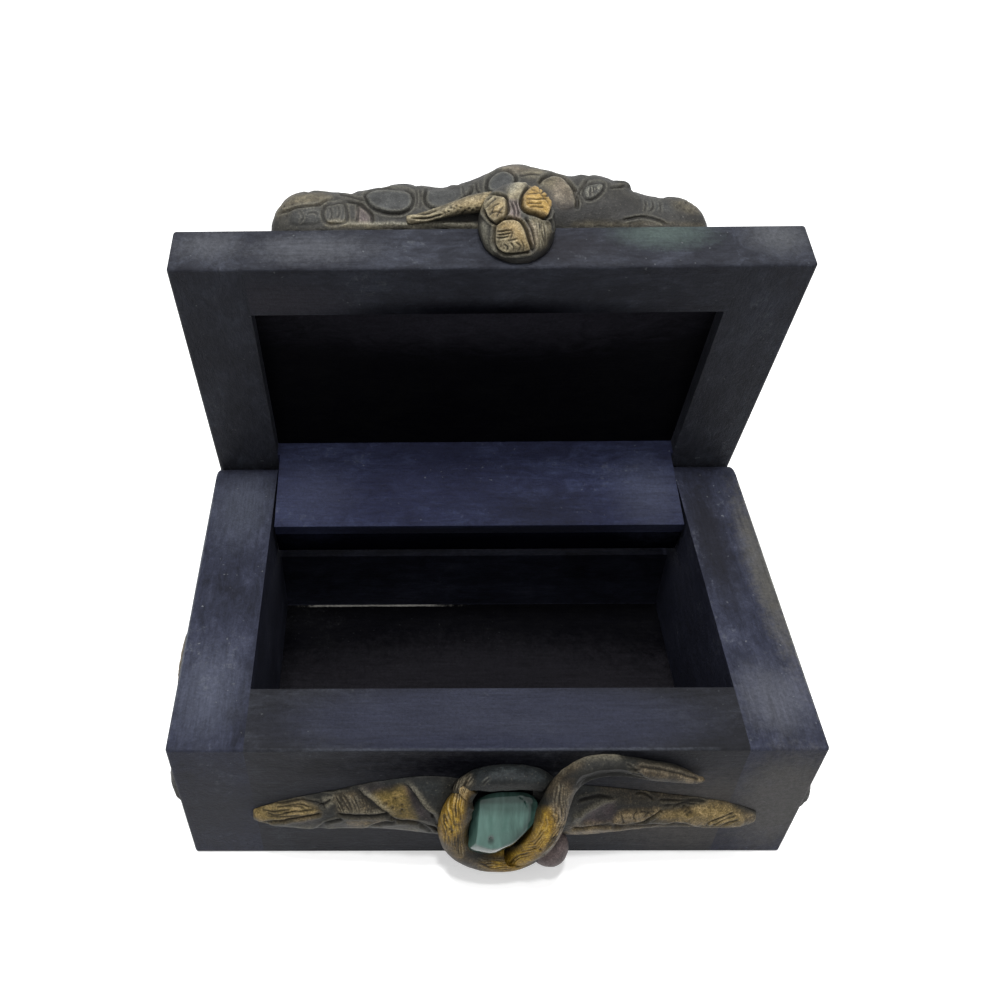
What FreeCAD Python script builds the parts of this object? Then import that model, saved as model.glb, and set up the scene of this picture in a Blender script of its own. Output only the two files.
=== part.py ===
import FreeCAD, Part
import os
import Sketcher

# A hand-made wooden trinket box with sculpted clay ornament, standing open.
# The lid turns on two dowels. Its back plank hangs between the base's side planks and
# closes the upper half of the back when the lid is shut.
# Row frame: origin at the centre of the underside, X to the right, Y to the back, Z up.

V = FreeCAD.Vector

sizes = {
    # base
    "box_width": 160.0,
    "box_depth": 99.8,
    "base_height": 53.5,
    "side_thickness": 19.0,
    "front_thickness": 17.0,
    "back_thickness": 18.0,
    "back_height": 27.5,
    "floor_thickness": 3.0,
    "floor_gap": 0.3,
    "edge_round": 0.9,
    # hinge: the pivot lies pivot_drop under the rim, and the rounded rear corners of the
    # side planks are centred on it
    "pivot_drop": 7.4,
    "stop_depth": 0.65,
    "open_angle": 78.4,
    "pin_diameter": 5.0,
    "pin_reach": 12.0,
    "pin_chamfer": 0.6,
    "pin_glue_gap": 0.02,
    "pin_play": 0.08,
    # lid
    "rim_gap": 0.2,
    "lid_thickness": 14.0,
    "stile_width": 19.0,
    "rail_width": 17.0,
    "panel_thickness": 9.6,
    "plank_drop": 25.4,
    "plank_end_gap": 0.8,
    "plank_round": 5.0,
    # ornament on the front: the middle of the stone, from the box's middle and underside
    "stone_x": 2.2,
    "stone_below_rim": 25.9,
    "stone_proud": 5.0,
    "stone_half_width": 8.5,
    "stone_half_height": 11.0,
    "stone_half_depth": 6.4,
    "bulb_radius": 5.2,
    # how far each wing's tip laps onto the side plank
    "wing_left_lap": 0.6,
    "wing_right_lap": 7.8,
    # creature on the lid, placed from the lid's front edge
    "bed_length": 108.0,
    "bed_width": 17.0,
    "bed_thickness": 1.5,
    "bed_inset": 10.0,
    "head_half_width": 9.7,
    "head_half_depth": 8.6,
    "head_half_height": 12.0,
    "knob_radius": 2.2,
    # the widest roll of clay; the ornaments are laid out in eighths of it, the clay unit
    "strand_width": 8.0,
}

doc = FreeCAD.newDocument("TrinketBox")
sheet = doc.addObject("Spreadsheet::Sheet", "Sizes")
for row, (alias, number) in enumerate(sizes.items(), start=1):
    sheet.set("A%d" % row, alias)
    sheet.set("B%d" % row, str(number))
    sheet.setAlias("B%d" % row, alias)
doc.recompute()


def size(alias):
    return float(sheet.get(alias))


def named(text):
    # writes each alias in an expression as the sheet's own cell
    words = sorted(sizes, key=len, reverse=True)
    for place, word in enumerate(words):
        text = text.replace(word, "<%d>" % place)
    for place, word in enumerate(words):
        text = text.replace("<%d>" % place, "Sizes." + word)
    return text


# distances that several pieces share, as expressions of the sheet
PIVOT_INSET = "(pivot_drop * sin(open_angle) + stop_depth)"
PIVOT_TO_FRONT = "(box_depth - %s)" % PIVOT_INSET
PIVOT_HEIGHT = "(base_height - pivot_drop)"
RIM = "(pivot_drop + rim_gap)"
LID_TOP = "(pivot_drop + rim_gap + lid_thickness)"
CAVITY = "(box_width - 2 * side_thickness)"
LID_SPAN = "(box_width - 2 * stile_width)"
PLANK_HALF = "(box_width / 2 - side_thickness - plank_end_gap)"


def bind(thing, prop, text):
    thing.setExpression(prop, named(text))


def value_of(text):
    # the number that an expression of the sheet gives
    probe = doc.addObject("Part::Box", "Probe")
    bind(probe, "Placement.Base.x", text)
    doc.recompute()
    number = probe.Placement.Base.x
    doc.removeObject(probe.Name)
    return number


pivot_inset = value_of(PIVOT_INSET)
pivot_to_front = value_of(PIVOT_TO_FRONT)
pivot_height = value_of(PIVOT_HEIGHT)
lid_top = value_of(LID_TOP)
half_width = size("box_width") / 2
unit = size("strand_width") / 8
pieces = []


def new_body(label):
    body = doc.addObject("PartDesign::Body", label)
    body.Label = label
    pieces.append(body)
    return body


def new_sketch(body, role, lift=None):
    sketch = body.newObject("Sketcher::SketchObject", body.Label + "_outline")
    plane = [part for part in body.Origin.OriginFeatures if part.Role == role][0]
    sketch.AttachmentSupport = [(plane, "")]
    sketch.MapMode = "FlatFace"
    if lift:
        bind(sketch, "AttachmentOffset.Base.z", lift)
    return sketch


def pin_down(sketch, line, end, x, y):
    for kind, text in (("DistanceX", x), ("DistanceY", y)):
        index = sketch.addConstraint(Sketcher.Constraint(kind, -1, 1, line, end, 1.0))
        sketch.setExpression("Constraints[%d]" % index, named(text))


def draw_outline(sketch, corners):
    # a closed outline of straight lines, each corner held by two expressions
    turn = FreeCAD.Rotation(V(0, 0, 1), 360.0 / len(corners))
    spots = [V(size("box_depth") * 0.4, 0, 0)]
    while len(spots) < len(corners):
        spots.append(turn.multVec(spots[-1]))
    lines = []
    for spot, after in zip(spots, spots[1:] + spots[:1]):
        lines.append(sketch.addGeometry(Part.LineSegment(spot, after)))
    for line, following in zip(lines, lines[1:] + lines[:1]):
        sketch.addConstraint(Sketcher.Constraint("Coincident", line, 2, following, 1))
    for line, (x, y) in zip(lines, corners):
        pin_down(sketch, line, 1, x, y)


def draw_rectangle(sketch, x0, y0, x1, y1):
    draw_outline(sketch, [(x0, y0), (x1, y0), (x1, y1), (x0, y1)])


def draw_circle(sketch, x, y, diameter):
    start = size("side_thickness")
    circle = sketch.addGeometry(Part.Circle(V(start, start, 0), V(0, 0, 1), start / 6))
    pin_down(sketch, circle, 3, x, y)
    index = sketch.addConstraint(Sketcher.Constraint("Diameter", circle, 6.0))
    sketch.setExpression("Constraints[%d]" % index, named(diameter))


def pad(body, sketch, length, midplane=False):
    feature = body.newObject("PartDesign::Pad", body.Label + "_pad")
    feature.Profile = sketch
    feature.Midplane = midplane
    bind(feature, "Length", length)
    sketch.Visibility = False
    return feature


def bore(body, sketch, depth, reverse=False):
    doc.recompute()
    before = body.Shape.Volume
    feature = body.newObject("PartDesign::Pocket", body.Label + "_bore")
    feature.Profile = sketch
    feature.Reversed = reverse
    bind(feature, "Length", depth)
    doc.recompute()
    if body.Shape.Volume >= before:
        raise ValueError("the bore in %s cuts nothing" % body.Label)
    return feature


def round_edges(body, radius, wanted):
    # rounds the edges of the body whose ends all pass the test
    doc.recompute()
    base = body.Tip
    names = []
    for number, edge in enumerate(body.Shape.Edges, start=1):
        ends = [body.Placement.inverse().multVec(vertex.Point) for vertex in edge.Vertexes]
        if wanted(ends):
            names.append("Edge%d" % number)
    feature = body.newObject("PartDesign::Fillet", body.Label + "_round")
    feature.Base = (base, names)
    bind(feature, "Radius", radius)
    doc.recompute()
    return feature


def near(first, second):
    return abs(first - second) < 0.01


def set_down(thing, x="0", y="0", z="0"):
    bind(thing, "Placement.Base.x", x)
    bind(thing, "Placement.Base.y", y)
    bind(thing, "Placement.Base.z", z)


def hang_on_hinge(thing):
    # lid pieces are drawn shut, from the hinge axis, and swung open about it
    thing.Placement.Rotation = FreeCAD.Rotation(V(1, 0, 0), -1)
    set_down(thing, "0", PIVOT_TO_FRONT + " - box_depth / 2", PIVOT_HEIGHT)
    bind(thing, "Placement.Rotation.Angle", "-open_angle")


# Base planks


def base_side(label, x, outer_x):
    # profile seen from the side: the rear corner is cut to the lean of the open lid and
    # rounded about the pivot, so the lid's rim rolls past it and comes to rest on the slope
    body = new_body(label)
    sketch = new_sketch(body, "YZ_Plane")
    slope_top = PIVOT_TO_FRONT + " + pivot_drop * tan(open_angle / 2)"
    slope_foot = PIVOT_HEIGHT + " + pivot_drop * cos(open_angle) - stop_depth * tan(open_angle)"
    draw_outline(sketch, [
        ("0", "0"),
        ("box_depth", "0"),
        ("box_depth", slope_foot),
        (slope_top, "base_height"),
        ("0", "base_height"),
    ])
    pad(body, sketch, "side_thickness")
    hole = new_sketch(body, "YZ_Plane")
    draw_circle(hole, PIVOT_TO_FRONT, PIVOT_HEIGHT, "pin_diameter + 2 * pin_glue_gap")
    bore(body, hole, "side_thickness", reverse=True)
    corner = value_of(slope_top)
    round_edges(body, "pivot_drop", lambda ends: all(
        near(end.y, corner) and near(end.z, size("base_height")) for end in ends))
    high = size("base_height")
    deep = size("box_depth")

    def outside(ends):
        on_face = all(near(end.x, outer_x) for end in ends)
        around_pin = any(
            abs(end.y - pivot_to_front) < size("pin_diameter")
            and abs(end.z - pivot_height) < size("pin_diameter") for end in ends)
        across_front = all(near(end.y, 0) for end in ends) and (
            all(near(end.z, high) for end in ends) or all(near(end.z, 0) for end in ends))
        across_back = all(near(end.y, deep) and near(end.z, 0) for end in ends)
        return (on_face and not around_pin) or across_front or across_back

    round_edges(body, "edge_round", outside)
    set_down(body, x, "-box_depth / 2")
    return body


def plank_between(label, y, thickness, height, wanted):
    # a plank that fits between the side planks
    body = new_body(label)
    sketch = new_sketch(body, "XY_Plane")
    draw_rectangle(sketch, "-%s / 2" % CAVITY, "0", "%s / 2" % CAVITY, thickness)
    pad(body, sketch, height)
    round_edges(body, "edge_round", wanted)
    set_down(body, "0", y)
    return body


base_side("base_side_left", "-box_width / 2", 0.0)
base_side("base_side_right", "box_width / 2 - side_thickness", size("side_thickness"))
plank_between(
    "base_front_plank", "-box_depth / 2", "front_thickness", "base_height",
    lambda ends: all(near(end.y, 0) for end in ends) and near(ends[0].z, ends[-1].z))
plank_between(
    "base_back_plank", "box_depth / 2 - back_thickness", "back_thickness", "back_height",
    lambda ends: all(near(end.y, size("back_thickness")) for end in ends)
    and near(ends[0].z, ends[-1].z))

panel = new_body("bottom_panel")
outline = new_sketch(panel, "XY_Plane")
draw_rectangle(
    outline,
    "-%s / 2" % CAVITY, "front_thickness - box_depth / 2",
    "%s / 2" % CAVITY, "box_depth / 2 - back_thickness - floor_gap")
pad(panel, outline, "floor_thickness")


# Hinge pins: dowels turned to size, their inner ends chamfered


def hinge_pin(label, x, turn):
    body = new_body(label)
    sketch = new_sketch(body, "XY_Plane")
    length = "(side_thickness + plank_end_gap + pin_reach)"
    draw_outline(sketch, [
        ("0", "0"),
        (length, "0"),
        (length, "pin_diameter / 2 - pin_chamfer"),
        (length + " - pin_chamfer", "pin_diameter / 2"),
        ("0", "pin_diameter / 2"),
    ])
    doc.recompute()
    feature = body.newObject("PartDesign::Revolution", label + "_turned")
    feature.Profile = sketch
    feature.ReferenceAxis = (sketch, ["H_Axis"])
    feature.Angle = 360
    body.Placement.Rotation = FreeCAD.Rotation(V(0, 0, 1), turn)
    set_down(body, x, PIVOT_TO_FRONT + " - box_depth / 2", PIVOT_HEIGHT)
    return body


hinge_pin("hinge_pin_left", "-box_width / 2", 0)
hinge_pin("hinge_pin_right", "box_width / 2", 180)


# Lid frame


def lid_stile(label, x, outer_x):
    body = new_body(label)
    sketch = new_sketch(body, "YZ_Plane", x)
    draw_rectangle(sketch, "-" + PIVOT_TO_FRONT, RIM, PIVOT_INSET, LID_TOP)
    pad(body, sketch, "stile_width")
    front = -pivot_to_front

    def outside(ends):
        on_face = all(near(end.x, outer_x) for end in ends)
        across = near(ends[0].z, ends[-1].z) and near(ends[0].y, ends[-1].y)
        at_end = all(near(end.y, front) or near(end.y, pivot_inset) for end in ends)
        return on_face or (across and at_end)

    round_edges(body, "edge_round", outside)
    hang_on_hinge(body)
    return body


lid_stile("lid_side_left", "-box_width / 2", -half_width)
lid_stile("lid_side_right", "box_width / 2 - stile_width", half_width)

rail = new_body("lid_front_rail")
outline = new_sketch(rail, "XY_Plane", RIM)
draw_rectangle(
    outline,
    "-%s / 2" % LID_SPAN, "-" + PIVOT_TO_FRONT,
    "%s / 2" % LID_SPAN, "rail_width - " + PIVOT_TO_FRONT)
pad(rail, outline, "lid_thickness")
round_edges(rail, "edge_round", lambda ends: all(
    near(end.y, -pivot_to_front) for end in ends) and near(ends[0].z, ends[-1].z))
hang_on_hinge(rail)

top = new_body("lid_top_panel")
outline = new_sketch(top, "XY_Plane", LID_TOP + " - panel_thickness")
draw_rectangle(
    outline,
    "-%s / 2" % LID_SPAN, "rail_width - " + PIVOT_TO_FRONT,
    "%s / 2" % LID_SPAN, PIVOT_INSET + " - back_thickness")
pad(top, outline, "panel_thickness")
hang_on_hinge(top)

# the hanging plank: full width between the stiles, its lower part shorter to turn freely
plank = new_body("lid_back_plank")
PLANK_FRONT = PIVOT_INSET + " - back_thickness"
PLANK_FOOT = RIM + " - plank_drop"
outline = new_sketch(plank, "YZ_Plane")
draw_rectangle(outline, PLANK_FRONT, PLANK_FOOT, PIVOT_INSET, LID_TOP)
pad(plank, outline, "2 * " + PLANK_HALF, midplane=True)
shoulder = new_sketch(plank, "YZ_Plane")
draw_rectangle(shoulder, PLANK_FRONT, RIM, PIVOT_INSET, LID_TOP)
pad(plank, shoulder, LID_SPAN, midplane=True)
hole = new_sketch(plank, "YZ_Plane", PLANK_HALF)
draw_circle(hole, "0", "0", "pin_diameter + 2 * pin_play")
right_bore = bore(plank, hole, "pin_reach + 1")
left_bore = plank.newObject("PartDesign::Mirrored", "lid_back_plank_far_bore")
left_bore.Originals = [right_bore]
middle = [part for part in plank.Origin.OriginFeatures if part.Role == "YZ_Plane"][0]
left_bore.MirrorPlane = (middle, [""])
plank.Tip = left_bore
doc.recompute()
foot = value_of(PLANK_FOOT)
round_edges(plank, "plank_round", lambda ends: all(
    near(end.y, pivot_inset) and near(end.z, foot) for end in ends))
hang_on_hinge(plank)


# Sculpted clay. Each form is lofted through arcs along its length and pressed onto wood.


def new_feature(label, shape):
    feature = doc.addObject("Part::Feature", label)
    feature.Label = label
    feature.Shape = shape
    pieces.append(feature)
    return feature


def largest(shape):
    return max(shape.Solids, key=lambda solid: solid.Volume)


def in_units(stations):
    return [[number * unit for number in station] for station in stations]


def pressed_relief(stations, start=V(0, 0, 0)):
    # a form lying flat at the start's height: each station is its place along X, its middle
    # along Y, half of its foot, and its rise
    sections = []
    for along, middle_y, half, rise in stations:
        low = start + V(along, middle_y - half, 0)
        high = start + V(along, middle_y + half, 0)
        crown = start + V(along, middle_y, rise)
        arc = Part.Arc(low, crown, high).toShape()
        sections.append(Part.Wire([arc, Part.makeLine(high, low)]))
    return Part.makeLoft(sections, True, False)


def rolled_strand(points, radii):
    # a tapering strand of clay that follows the points, its radii in clay units, cut flat
    # where it meets the XY plane
    sections = []
    ahead = points[1:] + [points[-1]]
    behind = [points[0]] + points[:-1]
    for point, before, after, share in zip(points, behind, ahead, radii):
        radius = share * unit
        along = (after - before).normalize()
        side = along.cross(V(0, 0, 1)).normalize()
        top = side.cross(along)
        rim = [point + top * radius, point + side * radius, point - top * radius, point - side * radius]
        first = Part.Arc(rim[0], rim[1], rim[2]).toShape()
        second = Part.Arc(rim[2], rim[3], rim[0]).toShape()
        sections.append(Part.Wire([first, second]))
    strand = Part.makeLoft(sections, True, False)
    return largest(strand.common(above_plane()))


def above_plane():
    reach = size("box_width")
    return Part.makeBox(2 * reach, 2 * reach, reach, V(-reach, -reach, 0))


def egg(middle, half_x, half_y, half_z, lean=0.0):
    # an egg-shaped lump, its upper end pushed over along X by the lean
    shear = FreeCAD.Matrix()
    shear.scale(half_x, half_y, half_z)
    shear.A12 = lean * half_y
    shape = Part.makeSphere(1.0).transformGeometry(shear)
    shape.translate(middle)
    return shape


# The ornament on the front is drawn lying down: X along the box, Y up its front, Z outwards

stone_lean = 0.24
stone_middle = V(size("stone_x"), size("base_height") - size("stone_below_rim"), size("stone_proud"))
stone = largest(egg(
    stone_middle, size("stone_half_width"), size("stone_half_height"),
    size("stone_half_depth"), stone_lean).common(above_plane()))


def around_stone(offsets):
    # points given in clay units from the middle of the stone, with their own height off the wood
    return [V(stone_middle.x + x * unit, stone_middle.y + y * unit, out * unit) for x, y, out in offsets]


horn = rolled_strand(
    around_stone([
        (-4.5, -16.2, 6.0), (0.8, -14.4, 6.9), (6.2, -9.6, 7.6), (10.4, 0.5, 7.6), (12.6, 11.5, 6.4),
        (15.0, 19.0, 4.6), (20.0, 23.3, 3.4), (27.0, 23.4, 2.8), (36.0, 20.2, 2.3),
        (43.5, 17.0, 1.8), (49.4, 14.0, 1.1)]),
    [0.9, 2.6, 3.6, 4.1, 3.5, 2.9, 2.6, 2.4, 2.3, 1.8, 0.8])
horn = largest(horn.cut(stone))

coil = rolled_strand(
    around_stone([
        (-4.0, 14.2, 4.2), (-9.8, 8.6, 4.8), (-12.0, -0.5, 5.4), (-9.6, -9.6, 5.8),
        (-2.0, -14.4, 6.0), (6.0, -14.8, 5.6), (11.6, -12.6, 4.6)],),
    [2.2, 3.7, 4.0, 4.6, 4.9, 4.2, 2.4])
coil = largest(coil.cut(stone.fuse(horn)))

hood = rolled_strand(
    around_stone([
        (-11.0, 9.0, 2.4), (-7.4, 14.2, 2.8), (0.3, 17.2, 3.0), (7.3, 16.0, 2.8),
        (12.0, 11.4, 2.4)]),
    [2.0, 3.2, 3.7, 3.4, 2.2])
hood = largest(hood.cut(stone.fuse([horn, coil])))

bulb_middle = stone_middle + V(13.2, -13.8, -0.4) * unit
bulb = egg(bulb_middle, size("bulb_radius"), size("bulb_radius") * 1.1, size("bulb_radius"))
bulb = largest(bulb.common(above_plane()).cut(horn.fuse(coil)))

stone_ring = horn.fuse([coil, hood, bulb, stone])


def wing(root_x, tip_x, stations):
    # each station is its share of the way from root to tip, and in clay units its middle
    # above the stone's, half of its foot, and its rise
    laid = []
    for share, lift, half, rise in stations:
        along = root_x + share * (tip_x - root_x)
        laid.append([along, stone_middle.y + lift * unit, half * unit, rise * unit])
    return largest(pressed_relief(laid).cut(stone_ring))


plank_edge = half_width - size("side_thickness")
wing_left = wing(stone_middle.x - 8.2 * unit, -plank_edge - size("wing_left_lap"), [
    (1.0, -5.2, 2.3, 1.5), (0.881, -4.6, 5.6, 3.0), (0.647, -2.7, 9.2, 3.9),
    (0.45, -0.6, 11.2, 4.5), (0.252, -0.1, 13.6, 5.1), (0.0, -2.8, 14.4, 4.6)])
wing_right = wing(stone_middle.x + 7.8 * unit, plank_edge + size("wing_right_lap"), [
    (0.0, -2.2, 12.2, 4.2), (0.238, -3.3, 12.6, 4.7), (0.476, -2.9, 9.4, 4.1),
    (0.68, -3.5, 7.2, 3.7), (0.867, -5.7, 6.0, 3.2), (1.0, -6.8, 2.4, 1.5)])

front_pieces = {
    "turquoise_stone": stone,
    "front_horn": horn,
    "stone_coil": coil,
    "stone_hood": hood,
    "front_bulb": bulb,
    "front_wing_left": wing_left,
    "front_wing_right": wing_right,
}
for label, shape in front_pieces.items():
    feature = new_feature(label, shape)
    feature.Placement.Rotation = FreeCAD.Rotation(V(1, 0, 0), 90)
    set_down(feature, "0", "-box_depth / 2")

# The leaves on the sides are drawn lying down too: X back along the side, Z outwards,
# and each station's middle is given from the rim down

rim = V(0, size("base_height"), 0)
leaf_left = in_units([
    (3.0, -26.5, 5.0, 2.0), (9.0, -24.5, 11.5, 3.4), (18.0, -22.5, 12.5, 3.3),
    (28.0, -19.5, 11.0, 4.2), (38.0, -17.0, 8.6, 4.4), (47.0, -15.0, 5.2, 3.0),
    (53.0, -14.1, 2.0, 1.3)])
leaf_right = in_units([
    (2.0, -28.5, 5.0, 2.4), (7.0, -27.5, 9.6, 3.4), (17.0, -24.5, 12.0, 3.0),
    (28.0, -21.5, 11.0, 3.0), (39.0, -19.5, 7.6, 2.6), (48.0, -18.1, 2.2, 1.3)])
right = new_feature("side_leaf_right", pressed_relief(leaf_right, rim))
right.Placement.Rotation = FreeCAD.Rotation(V(0, 1, 0), V(0, 0, 1), V(1, 0, 0))
set_down(right, "box_width / 2", "-box_depth / 2")
mirrored = [(-along, middle_y, half, rise) for along, middle_y, half, rise in reversed(leaf_left)]
left = new_feature("side_leaf_left", pressed_relief(mirrored, rim))
left.Placement.Rotation = FreeCAD.Rotation(V(0, -1, 0), V(0, 0, 1), V(-1, 0, 0))
set_down(left, "-box_width / 2", "-box_depth / 2")


# The creature lies along the lid's front edge, on its clay bed, with its head over the edge

bed = new_body("clay_bed")
outline = new_sketch(bed, "XY_Plane", LID_TOP)
draw_rectangle(
    outline,
    "-bed_length / 2", "bed_inset - bed_width / 2 - " + PIVOT_TO_FRONT,
    "bed_length / 2", "bed_inset + bed_width / 2 - " + PIVOT_TO_FRONT)
pad(bed, outline, "bed_thickness")
round_edges(bed, "bed_width * 0.45", lambda ends: near(ends[0].x, ends[-1].x)
            and near(ends[0].y, ends[-1].y))
hang_on_hinge(bed)

bed_middle = V(0, size("bed_inset") - pivot_to_front, lid_top + size("bed_thickness"))
tail_stations = [
    (-55.8, -0.5, 2.4, 9.6), (-53.4, -0.5, 5.2, 14.6), (-47.0, 0.0, 7.8, 18.4),
    (-39.5, 0.0, 7.6, 17.8), (-31.0, 0.0, 8.0, 18.4), (-23.0, 0.0, 8.3, 20.2),
    (-15.0, 0.0, 8.2, 19.4), (-8.0, 0.0, 8.2, 20.2)]
shoulder_stations = [
    tail_stations[-1], (0.0, 0.5, 7.6, 23.6), (8.0, 0.5, 7.2, 26.8), (16.0, 0.5, 7.0, 25.2),
    (24.0, 0.0, 6.6, 22.4)]
flank_stations = [
    shoulder_stations[-1], (31.5, 0.0, 6.0, 22.2), (37.0, 0.0, 6.6, 19.0), (43.0, 0.0, 7.0, 15.8),
    (49.0, 0.0, 7.0, 15.4), (54.4, -0.5, 5.2, 13.2), (57.4, -0.5, 2.4, 7.8)]


tail = pressed_relief(in_units(tail_stations), bed_middle)
shoulders = pressed_relief(in_units(shoulder_stations), bed_middle)
flank = pressed_relief(in_units(flank_stations), bed_middle)
knob = size("knob_radius")
flank = flank.fuse(egg(bed_middle + V(35.8, -8.2, 14.5) * unit, knob * 1.3, knob, knob))
body_shape = tail.fuse([shoulders, flank])

wood = Part.makeBox(
    size("box_width"), size("box_depth"), size("lid_thickness") + size("bed_thickness"),
    V(-half_width, -pivot_to_front, lid_top - size("lid_thickness")))
lid_edge = V(0, -pivot_to_front, lid_top)
head = egg(
    lid_edge + V(7.0, -2.2, -1.4) * unit, size("head_half_width"), size("head_half_depth"),
    size("head_half_height"))
head = largest(head.cut(wood.fuse(body_shape)))

arm_points = [
    V(2.0, -3.2, 5.4), V(-4.0, -3.4, 4.8), V(-10.0, -2.4, 3.7), V(-15.5, -0.6, 3.3), V(-20.5, 0.4, 3.3)]
arm = rolled_strand([lid_edge + point * unit for point in arm_points], [2.9, 2.3, 1.7, 1.4, 1.2])
arm = largest(arm.cut(body_shape.fuse([head, wood])))

for label, shape in {
    "creature_tail": tail,
    "creature_shoulder": shoulders,
    "creature_flank": flank,
    "creature_head": head,
    "creature_arm": arm,
}.items():
    hang_on_hinge(new_feature(label, shape))

doc.recompute()
for thing in doc.Objects:
    if "Invalid" in thing.State or "Error" in thing.State:
        raise ValueError("%s failed: %s" % (thing.Label, thing.State))
for piece in pieces:
    if piece.Shape.isNull() or not piece.Shape.isValid():
        raise ValueError("%s has no valid shape" % piece.Label)

os.makedirs("parts", exist_ok=True)
for piece in pieces:
    piece.Shape.exportStep("parts/%s.step" % piece.Label)
print("wrote %d pieces" % len(pieces))
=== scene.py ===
import math
import random
import bpy
import bmesh
import numpy as np
from mathutils import Matrix, Vector, noise


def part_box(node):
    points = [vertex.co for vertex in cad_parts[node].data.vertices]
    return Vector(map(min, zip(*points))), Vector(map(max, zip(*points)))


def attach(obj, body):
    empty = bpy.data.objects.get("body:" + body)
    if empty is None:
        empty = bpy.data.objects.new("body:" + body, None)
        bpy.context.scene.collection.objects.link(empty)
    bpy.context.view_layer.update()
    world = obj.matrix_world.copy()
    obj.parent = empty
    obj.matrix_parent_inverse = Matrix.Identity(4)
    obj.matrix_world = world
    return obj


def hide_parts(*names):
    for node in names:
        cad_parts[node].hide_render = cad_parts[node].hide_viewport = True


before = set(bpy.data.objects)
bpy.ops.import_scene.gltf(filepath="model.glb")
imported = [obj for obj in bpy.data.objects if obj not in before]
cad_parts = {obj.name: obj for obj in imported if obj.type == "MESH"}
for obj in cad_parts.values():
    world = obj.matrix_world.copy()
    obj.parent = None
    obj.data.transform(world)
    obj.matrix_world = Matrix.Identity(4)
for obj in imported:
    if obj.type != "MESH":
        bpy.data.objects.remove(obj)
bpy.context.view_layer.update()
mm = 0.001
drawSeed = 7
random.seed(drawSeed)
noise.seed_set(drawSeed)    # the wander of the marks is the same in every run
print("frame loaded:", len(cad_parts), "nodes")

# camera

cameraPlace = {
    "stand": (-0.0208, -0.17892, 0.28001),     # where the lens is, in metres
    "tiltDown": 41.472, "turn": -1.05, "roll": 1.117,   # degrees
    "lens": 36.92, "sensor": 36.0,             # millimetres
    "shift": (0.1071, -0.100),
}


def setUpCamera(place):
    tilt, turn, roll = (math.radians(place[k]) for k in ("tiltDown", "turn", "roll"))
    forward = Vector((math.sin(turn) * math.cos(tilt), math.cos(turn) * math.cos(tilt), -math.sin(tilt)))
    level = Vector((math.cos(turn), -math.sin(turn), 0.0))
    down = forward.cross(level)
    right = level * math.cos(roll) + down * math.sin(roll)
    lower = down * math.cos(roll) - level * math.sin(roll)
    data = bpy.data.cameras.new("camera")
    data.lens = place["lens"]
    data.sensor_width = place["sensor"]
    data.shift_x, data.shift_y = place["shift"]
    data.clip_start = 0.01
    camera = bpy.data.objects.new("camera", data)
    bpy.context.collection.objects.link(camera)
    turned = Matrix((right, -lower, -forward)).transposed().to_4x4()
    camera.matrix_world = Matrix.Translation(place["stand"]) @ turned
    bpy.context.scene.camera = camera


setUpCamera(cameraPlace)
bpy.context.scene.view_settings.view_transform = "Standard"


# helpers for colours and nodes

def linear(code):
    # an sRGB hex colour as the shader's linear red, green, blue and alpha
    parts = [int(code[i:i + 2], 16) / 255 for i in (1, 3, 5)]
    return [p / 12.92 if p <= 0.04045 else ((p + 0.055) / 1.055) ** 2.4 for p in parts] + [1.0]


def addNode(tree, kind, settings=None, links=None):
    # settings name a property or an input socket; links map an input socket to an output socket
    node = tree.nodes.new(kind)
    for name, value in (settings or {}).items():
        if isinstance(name, str) and hasattr(node, name):
            setattr(node, name, value)
        else:
            node.inputs[name].default_value = value
    for name, output in (links or {}).items():
        tree.links.new(output, node.inputs[name])
    return node


def rampOf(tree, value, stops):
    # a colour ramp on a value; each stop is a place and a hex colour or a grey level
    node = addNode(tree, "ShaderNodeValToRGB", None, {"Fac": value})
    elements = node.color_ramp.elements
    while len(elements) < len(stops):
        elements.new(0.5)
    for element, (place, colour) in zip(elements, stops):
        element.position = place
        element.color = linear(colour) if isinstance(colour, str) else (colour, colour, colour, 1.0)
    return node.outputs["Color"]


def calc(tree, operation, first, second=0.0, clamp=False):
    # one step of arithmetic; each side is a number or an output
    settings, links = {"operation": operation, "use_clamp": clamp}, {}
    for slot, side in ((0, first), (1, second)):
        (links if hasattr(side, "is_linked") else settings)[slot] = side
    return addNode(tree, "ShaderNodeMath", settings, links).outputs["Value"]


def layOver(tree, share, under, over, blend="MIX"):
    # one colour laid over another by a share from 0 to 1
    settings, links = {"data_type": "RGBA", "blend_type": blend}, {}
    for slot, side in ((0, share), (6, under), (7, over)):
        if isinstance(side, str):
            side = linear(side)
        (links if hasattr(side, "is_linked") else settings)[slot] = side
    return addNode(tree, "ShaderNodeMix", settings, links).outputs[2]


def newMaterial(name):
    material = bpy.data.materials.new(name)
    material.use_nodes = True
    tree = material.node_tree
    shader = tree.nodes["Principled BSDF"]
    place = addNode(tree, "ShaderNodeTexCoord").outputs["Object"]
    return material, tree, shader, place


def noiseOf(tree, place, scale, detail=4.0, roughness=0.6, distortion=0.0):
    # a noise pattern; scale is the size of its larger patches in millimetres along X, Y and Z
    sizes = scale if isinstance(scale, tuple) else (scale, scale, scale)
    moved = addNode(tree, "ShaderNodeMapping", {"Scale": [1 / (s * mm) for s in sizes]}, {"Vector": place})
    return addNode(tree, "ShaderNodeTexNoise",
                   {"Scale": 1.0, "Detail": detail, "Roughness": roughness, "Distortion": distortion},
                   {"Vector": moved.outputs["Vector"]}).outputs["Fac"]


def alongGrain(axis, width, stretch):
    # a pattern size that is `width` across the grain and `stretch` times as long along it
    return tuple(width * stretch if name == axis else width for name in "XYZ")


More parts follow.
